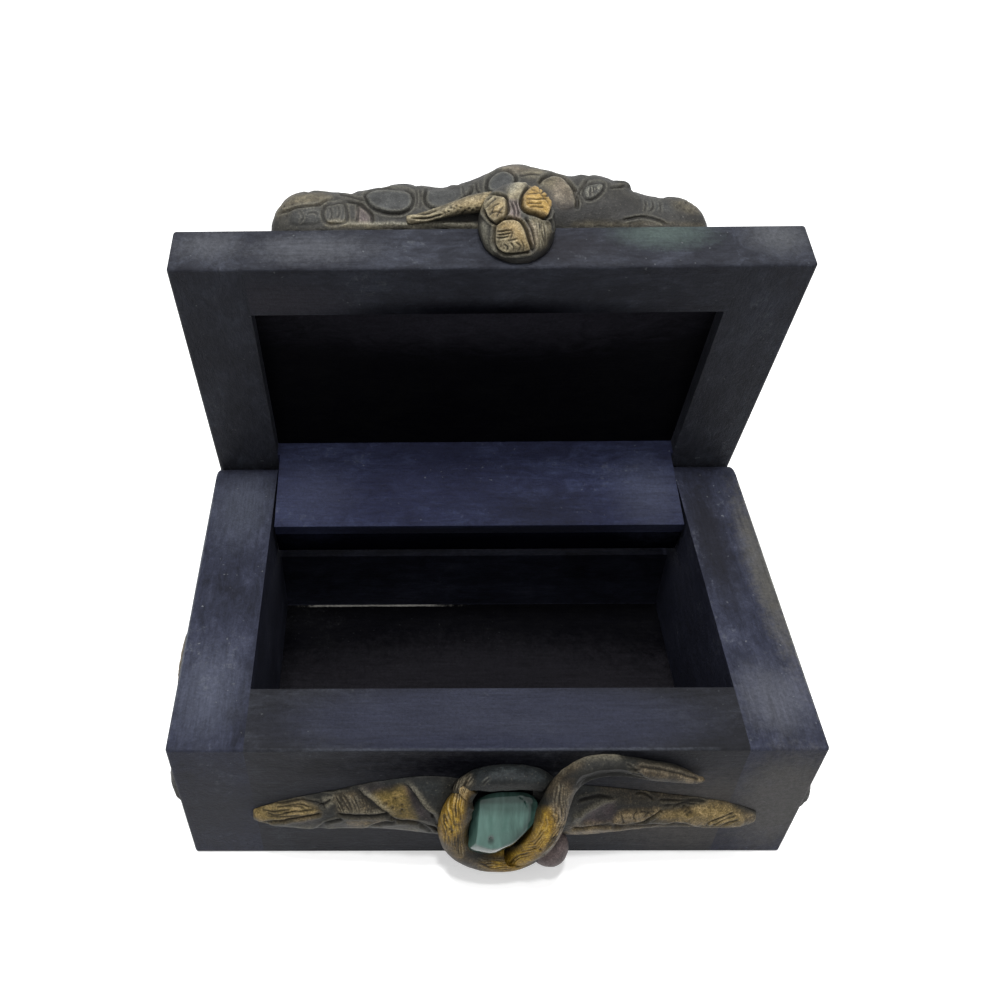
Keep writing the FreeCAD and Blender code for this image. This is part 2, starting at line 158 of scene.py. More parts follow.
def spotOf(tree, place, centre, reach, soft, ragged, raggedNoise, boxed=False):
    # a soft patch round a point: 1 inside, 0 outside; all in millimetres
    moved = addNode(tree, "ShaderNodeVectorMath", {"operation": "SUBTRACT", 1: [c * mm for c in centre]},
                    {0: place})
    scaled = addNode(tree, "ShaderNodeVectorMath", {"operation": "DIVIDE", 1: [r * mm for r in reach]},
                     {0: moved.outputs["Vector"]})
    if boxed:
        size = addNode(tree, "ShaderNodeVectorMath", {"operation": "ABSOLUTE"},
                       {0: scaled.outputs["Vector"]})
        axes = addNode(tree, "ShaderNodeSeparateXYZ", None, {0: size.outputs["Vector"]})
        far = calc(tree, "MAXIMUM", calc(tree, "MAXIMUM", axes.outputs["X"], axes.outputs["Y"]),
                   axes.outputs["Z"])
    else:
        far = addNode(tree, "ShaderNodeVectorMath", {"operation": "LENGTH"},
                      {0: scaled.outputs["Vector"]}).outputs["Value"]
    if ragged:
        shift = calc(tree, "MULTIPLY", calc(tree, "SUBTRACT", raggedNoise, 0.5), ragged)
        far = calc(tree, "ADD", far, shift)
    return addNode(tree, "ShaderNodeMapRange",
                   {"interpolation_type": "SMOOTHSTEP", "From Min": 1.0, "From Max": 1.0 - soft},
                   {"Value": far}).outputs["Result"]


def roughen(tree, shader, height, look):
    # fine relief from a pattern of heights
    bump = addNode(tree, "ShaderNodeBump", {"Strength": look["bump"], "Distance": look["bumpDepth"] * mm},
                   {"Height": height})
    tree.links.new(bump.outputs["Normal"], shader.inputs["Normal"])


# the wood

woodLook = {
    "roughness": 0.72,
    "ior": 1.46,
    "grainWidth": 0.8,      # millimetres between the lines that the grain leaves under the paint
    "streakWidth": 4.0,     # millimetres across one brush mark
    "blotch": 16.0,         # millimetres across a cloud in the paint
    "weave": 0.8,           # millimetres across the finest mottling
    "grit": 2.2,            # millimetres across a scuff
    "speck": 1.1,           # millimetres across a speck of dust
    "toneStops": (0.38, 0.5, 0.62),
    "lineStops": [(0.34, 0.5), (0.5, 0.85), (0.66, 1.15)],
    "bump": 0.8,
    "bumpDepth": 0.3,       # millimetres
    "dust": "#8b8f92",
    "palePatch": ((0.0, 42.0, 122.0), (90.0, 16.0, 26.0)),      # centre and reach of the paler patch of painted light in the painted shade on the lid's underside
    "pale": "#34333b",
}


def paintedWood(name, axis, tones, gloss, dusty, spots, inner=None):
    # Planed lime wood under a thin coat of matt indigo milk paint: the grain and the brush
    # marks show through it, it clouds to near black, and dust and rubbing leave it grey in places.
    material, tree, shader, place = newMaterial(name)
    streaks = noiseOf(tree, place, alongGrain(axis, woodLook["streakWidth"], 2.6), 6.0, 0.7, 1.4)
    clouds = noiseOf(tree, place, alongGrain(axis, woodLook["blotch"], 1.5), 6.0, 0.7)
    grain = noiseOf(tree, place, alongGrain(axis, woodLook["grainWidth"], 14.0), 5.0, 0.75)
    weave = noiseOf(tree, place, woodLook["weave"], 3.0, 0.8)
    grit = noiseOf(tree, place, woodLook["grit"], 6.0, 0.8)
    both = calc(tree, "ADD", calc(tree, "MULTIPLY", streaks, 0.45), calc(tree, "MULTIPLY", clouds, 0.55))
    colour = rampOf(tree, both, list(zip(woodLook["toneStops"], tones)))
    lines = rampOf(tree, grain, woodLook["lineStops"])
    colour = layOver(tree, 0.5, colour, lines, "MULTIPLY")
    scuffs = rampOf(tree, calc(tree, "MULTIPLY", grit, clouds), [(0.32, 0.0), (0.46, 0.3 * dusty)])
    colour = layOver(tree, scuffs, colour, woodLook["dust"])
    dots = noiseOf(tree, place, woodLook["speck"], 1.0, 0.5)
    specks = rampOf(tree, dots, [(0.75, 0.0), (0.81, 0.4 * dusty)])
    colour = layOver(tree, specks, colour, woodLook["dust"])
    mirrored = gloss
    # patches: the paint's own blotches and wear, and painted shade inside the box and the lid
    for centre, reach, over, strength, soft, ragged, boxed in spots:
        mask = spotOf(tree, place, centre, reach, soft, ragged, grit, boxed)
        # no mirroring under the deep colours, the painted shade among them
        if over in deep:
            mirrored = calc(tree, "MULTIPLY", mirrored, calc(tree, "SUBTRACT", 1.0, mask))
        shaded = layOver(tree, 0.6, over, lines, "MULTIPLY")
        colour = layOver(tree, calc(tree, "MULTIPLY", mask, strength), colour, shaded)
    if inner:
        # one face only, chosen by the way it looks, is painted shade, near black, with a paler patch of
        # painted light
        looks = addNode(tree, "ShaderNodeTexCoord").outputs["Normal"]
        facing = addNode(tree, "ShaderNodeVectorMath", {"operation": "DOT_PRODUCT", 1: inner}, {0: looks})
        mask = calc(tree, "GREATER_THAN", facing.outputs["Value"], 0.5)
        black = rampOf(tree, both, list(zip(woodLook["toneStops"], paintedShadeTones)))
        paler = spotOf(tree, place, *woodLook["palePatch"], 0.9, 0.8, streaks)
        black = layOver(tree, calc(tree, "MULTIPLY", paler, 0.9), black, woodLook["pale"])
        colour = layOver(tree, mask, colour, black)
        kept = calc(tree, "SUBTRACT", 1.0, calc(tree, "MULTIPLY", mask, 0.85))
        mirrored = calc(tree, "MULTIPLY", gloss, kept)
    colour = layOver(tree, 0.5, colour, rampOf(tree, weave, [(0.35, 0.5), (0.65, 1.2)]), "MULTIPLY")
    tree.links.new(colour, shader.inputs["Base Color"])
    shader.inputs["Roughness"].default_value = woodLook["roughness"]
    shader.inputs["IOR"].default_value = woodLook["ior"]
    if mirrored is not gloss:
        tree.links.new(mirrored, shader.inputs["Specular IOR Level"])
    else:
        shader.inputs["Specular IOR Level"].default_value = gloss
    rough = calc(tree, "ADD", calc(tree, "MULTIPLY", grain, 0.8), calc(tree, "ADD", streaks, weave))
    roughen(tree, shader, rough, woodLook)
    return material


matt, dead = 0.22, 0.04     # how much the paint mirrors: porous paint, and the floor inside the box, which is painted shade
shade, pitch = "#030308", "#08080c"
deep = (shade, pitch)       # near-black colours: painted shade in the hollow of the box and under the open lid, and the dark band across the front face; the paint mirrors nothing under them
lidInward = (0.0, -0.98, -0.2)   # the way the underside of the open lid looks
indigo = ("#131520", "#242736", "#363949")
ashen = ("#0f1015", "#191a20", "#282a31")
bluish = ("#0e1128", "#191d35", "#292f49")
slatey = ("#15161e", "#25272f", "#373a44")
# tones of the painted shade on the floor inside the box and on the lid's underside
paintedShadeTones = ("#010104", "#040407", "#08080b")
# patches on the planks: centre and reach in millimetres, colour, strength, softness, raggedness,
# and whether the patch is a box
# painted shade, near black, on the inner faces of the box
hollow = ((0.0, -0.65, 28.0), (61.6, 32.9, 25.2), shade, 1.0, 0.02, 0.0, True)
# painted shade, dark blue, on the inner faces of the side walls
walls = ((0.0, -0.65, 28.0), (61.6, 32.9, 25.2), "#0e1020", 0.95, 0.02, 0.0, True)
# faint painted shade on the inner faces of the lid's frame
inward = ((0.0, 48.0, 90.0), (62.0, 18.0, 45.0), "#14141a", 0.1, 0.02, 0.0, True)
# each plank's grain direction, tones, gloss, dust and patches
woodFinish = {
    "base_front_plank": ("X", ashen, matt, 0.3, [
        hollow,
        ((-2.0, -49.9, 46.0), (56.0, 8.0, 14.0), pitch, 0.55, 0.9, 0.7, False),
        ((54.0, -50.0, 22.0), (34.0, 8.0, 28.0), "#5e5b58", 0.7, 0.9, 0.9, False),
        ((0.0, -42.0, 53.5), (64.0, 14.0, 1.2), "#2d3041", 0.6, 0.5, 0.3, False),
        ((0.0, -49.9, 53.5), (61.0, 0.7, 0.7), "#565a62", 0.35, 0.6, 1.6, True)]),
    "base_back_plank": ("X", indigo, matt, 0.5, [hollow]),
    "base_side_left": ("Y", indigo, matt, 0.9, [
        walls,
        ((-72.0, -34.0, 53.5), (14.0, 20.0, 3.0), "#4a4e5c", 0.6, 0.9, 1.0, False),
        ((-70.0, 30.0, 53.5), (14.0, 24.0, 3.0), "#444854", 0.6, 0.9, 1.0, False),
        ((-72.0, -50.0, 26.0), (22.0, 4.0, 38.0), "#1a1b20", 0.75, 0.9, 1.0, False),
        ((-80.0, 0.0, 53.5), (0.8, 50.0, 0.8), "#6d7178", 0.5, 0.6, 1.6, True)]),
    "base_side_right": ("Y", indigo, matt, 0.9, [
        walls,
        ((78.0, 4.0, 53.5), (6.0, 44.0, 3.0), "#5b5952", 0.6, 0.9, 1.4, False),
        ((66.0, 16.0, 53.5), (8.0, 34.0, 3.0), "#101017", 0.8, 0.8, 1.0, False),
        ((70.0, -36.0, 53.5), (14.0, 15.0, 3.0), "#52545d", 0.7, 0.9, 1.0, False),
        ((74.0, -50.0, 28.0), (20.0, 6.0, 32.0), "#64625f", 0.7, 0.7, 0.8, False),
        ((80.0, 0.0, 53.5), (0.8, 50.0, 0.8), "#83837c", 0.5, 0.6, 1.6, True)]),
    # the floor inside the box is painted shade, darker in the middle, with a pale scratch near the back
    "bottom_panel": ("X", paintedShadeTones, dead, 0.1, [
        ((4.0, -14.0, 3.0), (120.0, 38.0, 4.0), "#1b1a1e", 0.95, 0.5, 0.7, False),
        ((4.0, -14.0, 3.0), (54.0, 28.0, 4.0), "#121115", 0.6, 0.9, 0.9, False),
        ((-31.0, 31.3, 3.0), (27.0, 0.5, 0.5), "#8f8d88", 0.9, 0.5, 1.6, True)]),
    "lid_top_panel": ("X", slatey, matt, 0.8, []),
    "lid_front_rail": ("X", slatey, matt, 0.8, [
        inward,
        # painted shade in the lid's recess, along the rail
        ((0.0, 40.0, 121.0), (62.0, 14.0, 8.0), pitch, 0.8, 0.6, 0.3, False),
        ((-52.0, 34.0, 126.0), (26.0, 10.0, 12.0), "#323138", 0.85, 0.9, 0.6, False),
        ((44.0, 42.0, 140.0), (18.0, 9.0, 3.0), "#45514e", 0.85, 0.9, 1.0, False),
        ((20.0, 37.0, 139.0), (20.0, 9.0, 5.0), "#1d1c21", 0.7, 0.9, 1.2, False),
        ((-44.0, 38.0, 139.0), (24.0, 8.0, 5.0), "#54565c", 0.6, 0.9, 1.4, False)]),
    "lid_back_plank": ("X", bluish, matt, 0.5, [
        # painted shade on the bar's front end and underside, over the hollow, then a darker band along its
        # front edge
        ((0.0, 25.0, 43.0), (62.0, 12.0, 5.2), shade, 0.95, 0.03, 0.0, True),
        ((0.0, 22.0, 49.0), (62.0, 6.0, 4.0), "#0b0d18", 0.9, 0.7, 0.3, True),
        ((-50.0, 34.0, 52.0), (20.0, 20.0, 14.0), "#2e3247", 0.7, 0.9, 1.0, False),
        ((52.0, 34.0, 52.0), (18.0, 20.0, 14.0), "#373b4c", 0.7, 0.9, 1.0, False),
        ((20.0, 28.0, 50.0), (30.0, 14.0, 14.0), "#0d0f1c", 0.5, 0.9, 1.2, False),
        ((-30.0, 30.0, 46.0), (28.0, 12.0, 6.0), "#101220", 0.6, 0.9, 1.6, False),
        ((0.0, 70.0, 50.0), (64.0, 12.0, 24.0), "#22242c", 0.9, 0.3, 0.3, True)]),
    "lid_side_left": ("Z", slatey, matt, 0.8, [
        inward,
        ((-70.0, 38.0, 140.0), (14.0, 10.0, 3.0), "#4b4d53", 0.8, 0.9, 1.2, False)]),
    "lid_side_right": ("Z", slatey, matt, 0.8, [
        inward,
        ((72.0, 40.0, 140.0), (12.0, 12.0, 3.0), "#515357", 0.7, 0.9, 1.0, False)]),
    "hinge_pin_left": ("X", indigo, matt, 0.2, []),
    "hinge_pin_right": ("X", indigo, matt, 0.2, []),
}
for nodeName, finish in woodFinish.items():
    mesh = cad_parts[nodeName].data
    mesh.materials.clear()
    title = "milk paint on the " + nodeName.replace("_", " ")
    # the underside of the lid's top panel is painted shade
    inner = lidInward if nodeName == "lid_top_panel" else None
    mesh.materials.append(paintedWood(title, *finish, inner))
print("wood painted")


# the clay

# what the marks leave on a piece for its paint: worked places first, then tints
tracks = ("groove", "ridge", "gold", "mauve", "cream", "slate", "dark")
clayLook = {
    "roughness": 0.5,
    "ior": 1.47,
    "cloud": 3.0,           # millimetres across a cloud in the paint
    "fine": 0.45,           # millimetres across its grain
    "speck": 0.5,           # millimetres across a speck of dust
    "toneStops": (0.35, 0.5, 0.65),
    "ragged": 2.4,          # how much the edges of the tints break up
    "bump": 0.8,
    "bumpDepth": 0.2,       # millimetres
}
# three tones for each tint, from the hollows to the high places
frontPaint = {
    "brushed": 0.45, "mirrors": 0.16,
    "base": ("#0c0c0b", "#181816", "#2a2925"),
    "slate": ("#0e1113", "#1a1e20", "#2d3233"),
    "cream": ("#2b2318", "#5c4f39", "#a4916f"),
    "mauve": ("#171213", "#272022", "#4b4042"),
    "gold": ("#352a12", "#71602f", "#ab905a"),
    # painted shade, for undersides, overhangs and gaps between pieces
    "dark": ("#050505", "#0b0b0a", "#141412"),
    "wash": "#0b0906",
    "dust": "#a39c88",
}
gildedPaint = dict(frontPaint, gold=("#4d3808", "#957422", "#d8b44c"),
                   cream=("#362c1f", "#6b5c46", "#b6a384"))
bulbPaint = dict(frontPaint, mauve=("#3a3232", "#5a4f4e", "#7b6d6a"), dust="#8d817d")
lidPaint = {
    "brushed": 0.6, "mirrors": 0.3,
    "base": ("#161513", "#262522", "#3b3933"),
    "slate": ("#1d1f20", "#323435", "#4c4e4d"),
    "cream": ("#4c432f", "#7c725a", "#b5aa8c"),
    "mauve": ("#352d2c", "#5c5150", "#877977"),
    "gold": ("#5a4212", "#9c7c3a", "#d0b070"),
    # painted shade, for undersides, overhangs and gaps between pieces
    "dark": ("#0f0f0e", "#1c1b1a", "#2a2927"),
    "wash": "#15120d",
    "dust": "#a8a594",
}


def masksOf(tree, names):
    return {name: addNode(tree, "ShaderNodeAttribute", {"attribute_name": name}).outputs["Fac"]
            for name in names}


def paintedClay(name, paint):
    # Modelling clay, pressed and scratched by hand, under thin acrylic: a dark wash stays in the
    # scratches, raised places are brushed pale, and patches are tinted gold, cream, slate and mauve.
    material, tree, shader, place = newMaterial(name)
    cloud = noiseOf(tree, place, clayLook["cloud"], 6.0, 0.72)
    fine = noiseOf(tree, place, clayLook["fine"], 3.0, 0.8)
    mask = masksOf(tree, tracks)
    tone = calc(tree, "ADD", calc(tree, "MULTIPLY", cloud, 0.55), calc(tree, "MULTIPLY", fine, 0.45))
    ragged = calc(tree, "MULTIPLY", calc(tree, "SUBTRACT", tone, 0.5), clayLook["ragged"])
    colour = rampOf(tree, tone, list(zip(clayLook["toneStops"], paint["base"])))
    # the dark tint is painted shade
    for tint in ("slate", "mauve", "cream", "gold", "dark"):
        evenly = calc(tree, "MULTIPLY", ragged, 0.4 if tint in ("gold", "dark") else 1.0)
        spread = calc(tree, "MULTIPLY", mask[tint], calc(tree, "ADD", evenly, 1.0), True)
        tinted = rampOf(tree, tone, list(zip(clayLook["toneStops"], paint[tint])))
        colour = layOver(tree, spread, colour, tinted)
    brushed = calc(tree, "MULTIPLY", mask["ridge"], rampOf(tree, fine, [(0.35, 0.1), (0.65, 1.0)]), True)
    colour = layOver(tree, calc(tree, "MULTIPLY", brushed, paint["brushed"]), colour, paint["dust"])
    colour = layOver(tree, calc(tree, "MULTIPLY", mask["groove"], 0.9, True), colour, paint["wash"])
    specks = rampOf(tree, noiseOf(tree, place, clayLook["speck"], 2.0, 0.7), [(0.66, 0.0), (0.76, 0.3)])
    colour = layOver(tree, specks, colour, paint["dust"])
    tree.links.new(colour, shader.inputs["Base Color"])
    shader.inputs["Roughness"].default_value = clayLook["roughness"]
    shader.inputs["IOR"].default_value = clayLook["ior"]
    shader.inputs["Specular IOR Level"].default_value = paint["mirrors"]
    roughen(tree, shader, calc(tree, "ADD", cloud, fine), clayLook)
    return material


stoneLook = {
    "roughness": 0.07,
    "ior": 1.55,
    "mirrors": 0.36,
    "veins": (2.0, 9.0, 14.0),      # millimetres across a vein along X, Y and Z
    "tones": [(0.34, "#344e47"), (0.5, "#3f5a53"), (0.66, "#4a6860")],
    "cream": (0.5, "#5a7970"),      # strength and colour of the painted light on the facet
    "groove": (0.6, "#34524a"),
    # strength and colour of the painted shade and dark painted reflection at the edges, and in the pit
    "dark": (0.9, "#1a2925"),
}


def polishedStone(name):
    # Polished dyed howlite: grey teal, with painted light on its flat facet and painted shade and a dark
    # painted reflection at its edges, faint upright veins and a hard, clear polish that mirrors the lamps.
    material, tree, shader, place = newMaterial(name)
    colour = rampOf(tree, noiseOf(tree, place, stoneLook["veins"], 4.0, 0.6, 0.8), stoneLook["tones"])
    for track, mask in masksOf(tree, ("cream", "groove", "dark")).items():
        strength, tint = stoneLook[track]
        colour = layOver(tree, calc(tree, "MULTIPLY", mask, strength), colour, tint)
    tree.links.new(colour, shader.inputs["Base Color"])
    shader.inputs["Roughness"].default_value = stoneLook["roughness"]
    shader.inputs["Specular IOR Level"].default_value = stoneLook["mirrors"]
    shader.inputs["IOR"].default_value = stoneLook["ior"]
    return material


frontClay = paintedClay("acrylic wash on the clay of the front", frontPaint)
gildedClay = paintedClay("gold paint rubbed on the clay of the ring", gildedPaint)
bulbClay = paintedClay("mauve acrylic on the clay of the bulb", bulbPaint)
lidClay = paintedClay("acrylic wash on the clay of the lid", lidPaint)
stone = polishedStone("polished dyed howlite")

# the drawing sheets on which the marks are set out, in millimetres from each sheet's origin
sheets = {
    "front": {"origin": (2.2, -54.9, 27.6), "across": (1, 0, 0), "up": (0.0, 0.895, 0.446)},
    "lid": {"origin": (7.0, 47.3, 143.0), "across": (1, 0, 0), "up": (0.0, 0.506, 0.863)},
    "left": {"origin": (-82.0, -24.0, 32.0), "across": (0, -1, 0), "up": (0.0, 0.0, 1.0)},
    "right": {"origin": (82.0, -24.0, 30.0), "across": (0, 1, 0), "up": (0.0, 0.0, 1.0)},
}

hand = {
    "wander": 0.2,          # millimetres that a line strays from where it is set
    "wanderRate": 0.35,     # strays per millimetre
    "lineWidth": 0.7,       # a tool's groove, as a share of the mark's width
    "edge": 1.8,            # how far a patch fades on each side of its outline, in widths
    "burr": 0.25,           # height of the clay pushed up beside a groove, as a share of its depth
    "burrPlace": 2.2,       # its place, in groove widths
    "sectors": 40,          # directions in which the rim of a piece is measured
    "flatness": 0.85,       # share of the stone above a flat that is rubbed away
    "rubs": 6,              # smoothing rounds at the edges of the flats
    "sway": (0.16, 0.35),   # how often comb lines drift, per millimetre along and across them
    "breaks": (0.4, 1.6),   # how often they break off
    "hairs": (0.35, 3.2),   # how often a brushed streak comes between them
    "plateTries": 4000,     # random places tried for the middles of the plates
    "plateDepth": 0.5,      # millimetres
}


def smoothLine(points, closed=False, steps=5):
    # a curve through given points, with `steps` short lines from each point to the next
    p = np.array(points, float)
    if len(p) < 3:
        return p
    first, last = (p[-1], p[0]) if closed else (2 * p[0] - p[1], 2 * p[-1] - p[-2])
    padded = np.vstack((first, p, last, p[1]))
    out = []
    for i in range(len(p) if closed else len(p) - 1):
        a, b, c, d = padded[i:i + 4]
        for t in np.arange(steps) / steps:
            out.append(0.5 * (2 * b + (c - a) * t + (2 * a - 5 * b + 4 * c - d) * t ** 2
                              + (3 * b - a - 3 * c + d) * t ** 3))
    if not closed:
        out.append(p[-1])
    return np.array(out)


def nearLine(spots, line, closed=False):
    # distance to the line, its side (left is positive), the way along it, and its whole length
    line = np.vstack((line, line[:1])) if closed else line
    best, side, along = np.full(len(spots), 1e9), np.zeros(len(spots)), np.zeros(len(spots))
    run = 0.0
    for a, b in zip(line[:-1], line[1:]):
        step = b - a
        length = float(np.hypot(*step)) or 1e-9
        t = np.clip(((spots - a) @ step) / length ** 2, 0, 1)
        gap = spots - a - t[:, None] * step
        far = np.hypot(gap[:, 0], gap[:, 1])
        closer = far < best
        best = np.where(closer, far, best)
        side = np.where(closer, step[0] * (spots[:, 1] - a[1]) - step[1] * (spots[:, 0] - a[0]), side)
        along = np.where(closer, run + t * length, along)
        run += length
    return best, np.sign(side), along, run


def insideOf(spots, loop):
    # which spots lie inside a closed outline
    inside = np.zeros(len(spots), bool)
    for a, b in zip(loop, np.roll(loop, -1, axis=0)):
        crosses = (a[1] > spots[:, 1]) != (b[1] > spots[:, 1])
        rise = b[1] - a[1] if b[1] != a[1] else 1e-9
        inside ^= crosses & (spots[:, 0] < (b[0] - a[0]) * (spots[:, 1] - a[1]) / rise + a[0])
    return inside


def ease(value, low, high):
    # 0 below `low` and 1 above `high`, with a soft rise between them
    t = np.clip((value - low) / (high - low), 0, 1)
    return t * t * (3 - 2 * t)


def rub(shape, rounds):
    for _ in range(rounds):
        bmesh.ops.smooth_vert(shape, verts=shape.verts, factor=0.5,
                              use_axis_x=True, use_axis_y=True, use_axis_z=True)


def softCopy(name, nodeNames, voxel, rounds):
    # a joined, evenly meshed copy of CAD nodes, its hard edges eased as fingers leave them
    shape = bmesh.new()
    for nodeName in nodeNames:
        shape.from_mesh(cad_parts[nodeName].data)
    bmesh.ops.remove_doubles(shape, verts=shape.verts, dist=1e-6)
    mesh = bpy.data.meshes.new(name)
    shape.to_mesh(mesh)
    shape.free()
    piece = bpy.data.objects.new(name, mesh)
    bpy.context.collection.objects.link(piece)
    remesh = piece.modifiers.new("remesh", "REMESH")
    remesh.mode = "VOXEL"
    remesh.voxel_size = voxel * mm
    even = bpy.data.meshes.new_from_object(piece.evaluated_get(bpy.context.evaluated_depsgraph_get()))
    piece.modifiers.clear()
    piece.data = even
    shape = bmesh.new()
    shape.from_mesh(even)
    rub(shape, rounds)
    shape.to_mesh(even)
    shape.free()
    return piece


class Surface:
    # the vertices of a piece, in millimetres, and what the marks do to them

    def __init__(self, mesh, sheet):
        count = len(mesh.vertices)
        place, normal = np.empty(count * 3), np.empty(count * 3)
        mesh.vertices.foreach_get("co", place)
        mesh.vertices.foreach_get("normal", normal)
        self.mesh = mesh
        self.place = place.reshape(-1, 3) / mm
        self.normal = normal.reshape(-1, 3)
        across, up = np.array(sheet["across"], float), np.array(sheet["up"], float)
        offset = self.place - np.array(sheet["origin"])
        # an unsteady hand: the lines wander a little
        wander = np.array([noise.noise_vector(Vector(p) * hand["wanderRate"]) for p in self.place])
        self.spots = np.column_stack((offset @ across, offset @ up)) + hand["wander"] * wander[:, :2]
        self.across, self.up = across, up
        facing = self.normal @ np.cross(across, up)
        self.seen, self.near = ease(facing, 0.0, 0.25), ease(facing, -0.95, -0.6)
        self.lift = np.zeros(count)
        self.paint = {track: np.zeros(count) for track in tracks}

    def tint(self, name, share):
        shown = self.seen if name in ("groove", "ridge") else self.near
        self.paint[name] = np.maximum(self.paint[name], share * shown)

    def reshape(self, outline):
        # the whole piece stretched or shrunk across the sheet, until its rim follows an outline
        loop = smoothLine(outline, True)
        centre = loop.mean(0)
        offset, rim = self.spots - centre, loop - centre
        angle, edge = np.arctan2(offset[:, 1], offset[:, 0]), np.arctan2(rim[:, 1], rim[:, 0])
        sectors, turn = hand["sectors"], 2 * np.pi
        sector = np.round(angle / turn * sectors).astype(int) % sectors
        present = np.zeros(sectors)
        np.maximum.at(present, sector, np.hypot(offset[:, 0], offset[:, 1]))
        present = (np.roll(present, 1) + 2 * present + np.roll(present, -1)) / 4
        wanted = np.interp(angle, edge, np.hypot(rim[:, 0], rim[:, 1]), period=turn)
        present = np.interp(angle, np.arange(sectors) * turn / sectors, present, period=turn)
        self.push(offset * (wanted / present - 1)[:, None])

    def push(self, moved):
        # vertices moved across and up the sheet
        self.place += moved[:, :1] * self.across + moved[:, 1:] * self.up
        self.spots += moved

    def plane(self, normal, reach):
        # a flat rubbed on the stone, `reach` millimetres short of its highest point that way
        normal = np.array(normal) / np.linalg.norm(normal)
        height = self.place @ normal
        over = height - height.max() + reach
        self.place -= normal * np.where(over > 0, hand["flatness"] * over, 0)[:, None]

    def polish(self):
        # the edges of the flats rubbed round
        shape = bmesh.new()
        shape.from_mesh(self.mesh)
        for vertex, place in zip(shape.verts, self.place):
            vertex.co = place
        rub(shape, hand["rubs"])
        shape.normal_update()
        self.place = np.array([v.co[:] for v in shape.verts])
        self.normal = np.array([v.normal[:] for v in shape.verts])
        shape.free()

    def cut(self, far, size, depth, ends):
        # a pulled tool line with a small burr at both sides
        size = hand["lineWidth"] * size
        burr = far - hand["burrPlace"] * size
        self.lift -= depth * np.exp(-(far / size) ** 2) * ends * self.seen
        self.lift += hand["burr"] * depth * np.exp(-(burr / (1.2 * size)) ** 2) * ends * self.seen
        self.tint("groove", np.exp(-(far / size) ** 2) * ends)
        self.tint("ridge", 0.3 * np.exp(-(burr / size) ** 2) * ends)

    def pits(self, size, depth, points):
        # round holes pressed in with a point
        for x, y in points:
            hole = np.exp(-(np.hypot(self.spots[:, 0] - x, self.spots[:, 1] - y) / size) ** 2)
            self.lift -= depth * hole * self.seen
            self.tint("groove", hole)

    def bank(self, far, size, depth, ends):
        # a rounded rise
        bank = np.exp(-(far / size) ** 2) * ends
        self.lift += depth * bank * self.seen
        self.tint("ridge", 0.9 * bank)

    def fold(self, far, left, size, depth, ends):
        # clay laid over clay: high on the left of the line, undercut on its right
        high = np.where(left, np.exp(-far / size), 0.0)
        low = np.where(left, 0.0, np.exp(-far / (0.45 * size)))
        self.lift += depth * (high - 0.7 * low) * ends * self.seen
        # the groove tint beside the undercut is painted shadow under the flap's edge
        self.tint("groove", np.where(left, 0.0, np.exp(-(far / 0.55) ** 2)) * ends)
        self.tint("ridge", np.where(left, np.exp(-((far - 0.5) / 0.6) ** 2), 0.0) * ends)

    def grab(self, share, step):
        # the clay drawn along by a step across, up and out of the sheet
        self.push(share[:, None] * np.array(step[:2]))
        self.place += share[:, None] * step[2] * np.cross(self.across, self.up)

    def mark(self, kind, size, depth, points, guide=None):
        if kind == "pit":
            self.pits(size, depth, points)
            return
        closed = kind not in ("groove", "scratch", "ridge", "fold")
        line = smoothLine(points, closed)
        far, side, along, run = nearLine(self.spots, line, closed)
        ends = 1.0 if closed else ease(np.minimum(along, run - along), -0.4, 1.6 * size)
        if kind in ("groove", "scratch", "loop"):
            self.cut(far, size, depth, ends)
        elif kind == "ridge":
            self.bank(far, size, depth, ends)
        elif kind == "fold":
            self.fold(far, side > 0, size, depth, ends)
        else:
            within = np.where(insideOf(self.spots, line), far, -far)
            share = depth * ease(within, -hand["edge"] * size, hand["edge"] * size)
            if kind == "dome":
                self.lift += depth * (1 - np.exp(-np.clip(within, 0, None) / size)) * self.seen
            elif kind == "comb":
                self.comb(size, depth, within, guide)
            elif kind == "grab":
                self.grab(share, guide)
            else:
                self.tint(kind, share)

    def comb(self, size, depth, within, guide):
        # a toothed tool drawn along the guide line, its lines uneven and broken, and hair-thin
        # brushed streaks between them
        off, sign, reach, _ = nearLine(self.spots, smoothLine(guide))
        side = off * sign
        drift, broken, hair = (np.array([noise.noise(Vector((r * along, o * across, depth)))
                                         for r, o in zip(reach, side)])
                               for along, across in (hand["sway"], hand["breaks"], hand["hairs"]))
        beat = 0.5 + 0.5 * np.cos(2 * np.pi * (side / size + 1.8 * drift))
        inside = ease(within, -0.2, 1.2)
        share = inside * np.clip(0.7 + 1.6 * broken, 0.05, 1.2)
        self.lift += depth * (beat - 0.6) * share * self.seen
        self.tint("groove", np.maximum((1 - beat) ** 2 * share, inside * ease(-hair, 0.12, 0.45)))
        self.tint("ridge", np.maximum(beat ** 3 * share, inside * ease(hair, 0.12, 0.4)))

    def plates(self, spacing):
        # on the sides that the sheet doesn't face, the hide goes on as rounded plates with creases between
        seeds = []
        low, high = self.place.min(0), self.place.max(0)
        for _ in range(hand["plateTries"]):
            seed = np.array([random.uniform(a, b) for a, b in zip(low, high)])
            if all(np.linalg.norm(seed - s) > spacing for s in seeds):
                seeds.append(seed)
        gaps = np.array([np.linalg.norm(self.place - s, axis=1) for s in seeds])
        gaps.partition(1, axis=0)
        crease = gaps[1] - gaps[0]
        hidden = 1 - self.seen
        self.lift += hand["plateDepth"] * (ease(crease, 0, 3.0) - 0.6) * hidden
        self.paint["groove"] = np.maximum(self.paint["groove"], np.exp(-(crease / 0.7) ** 2) * hidden)
        self.paint["slate"] = np.maximum(self.paint["slate"], 0.8 * ease(crease, 0.8, 2.2) * hidden)

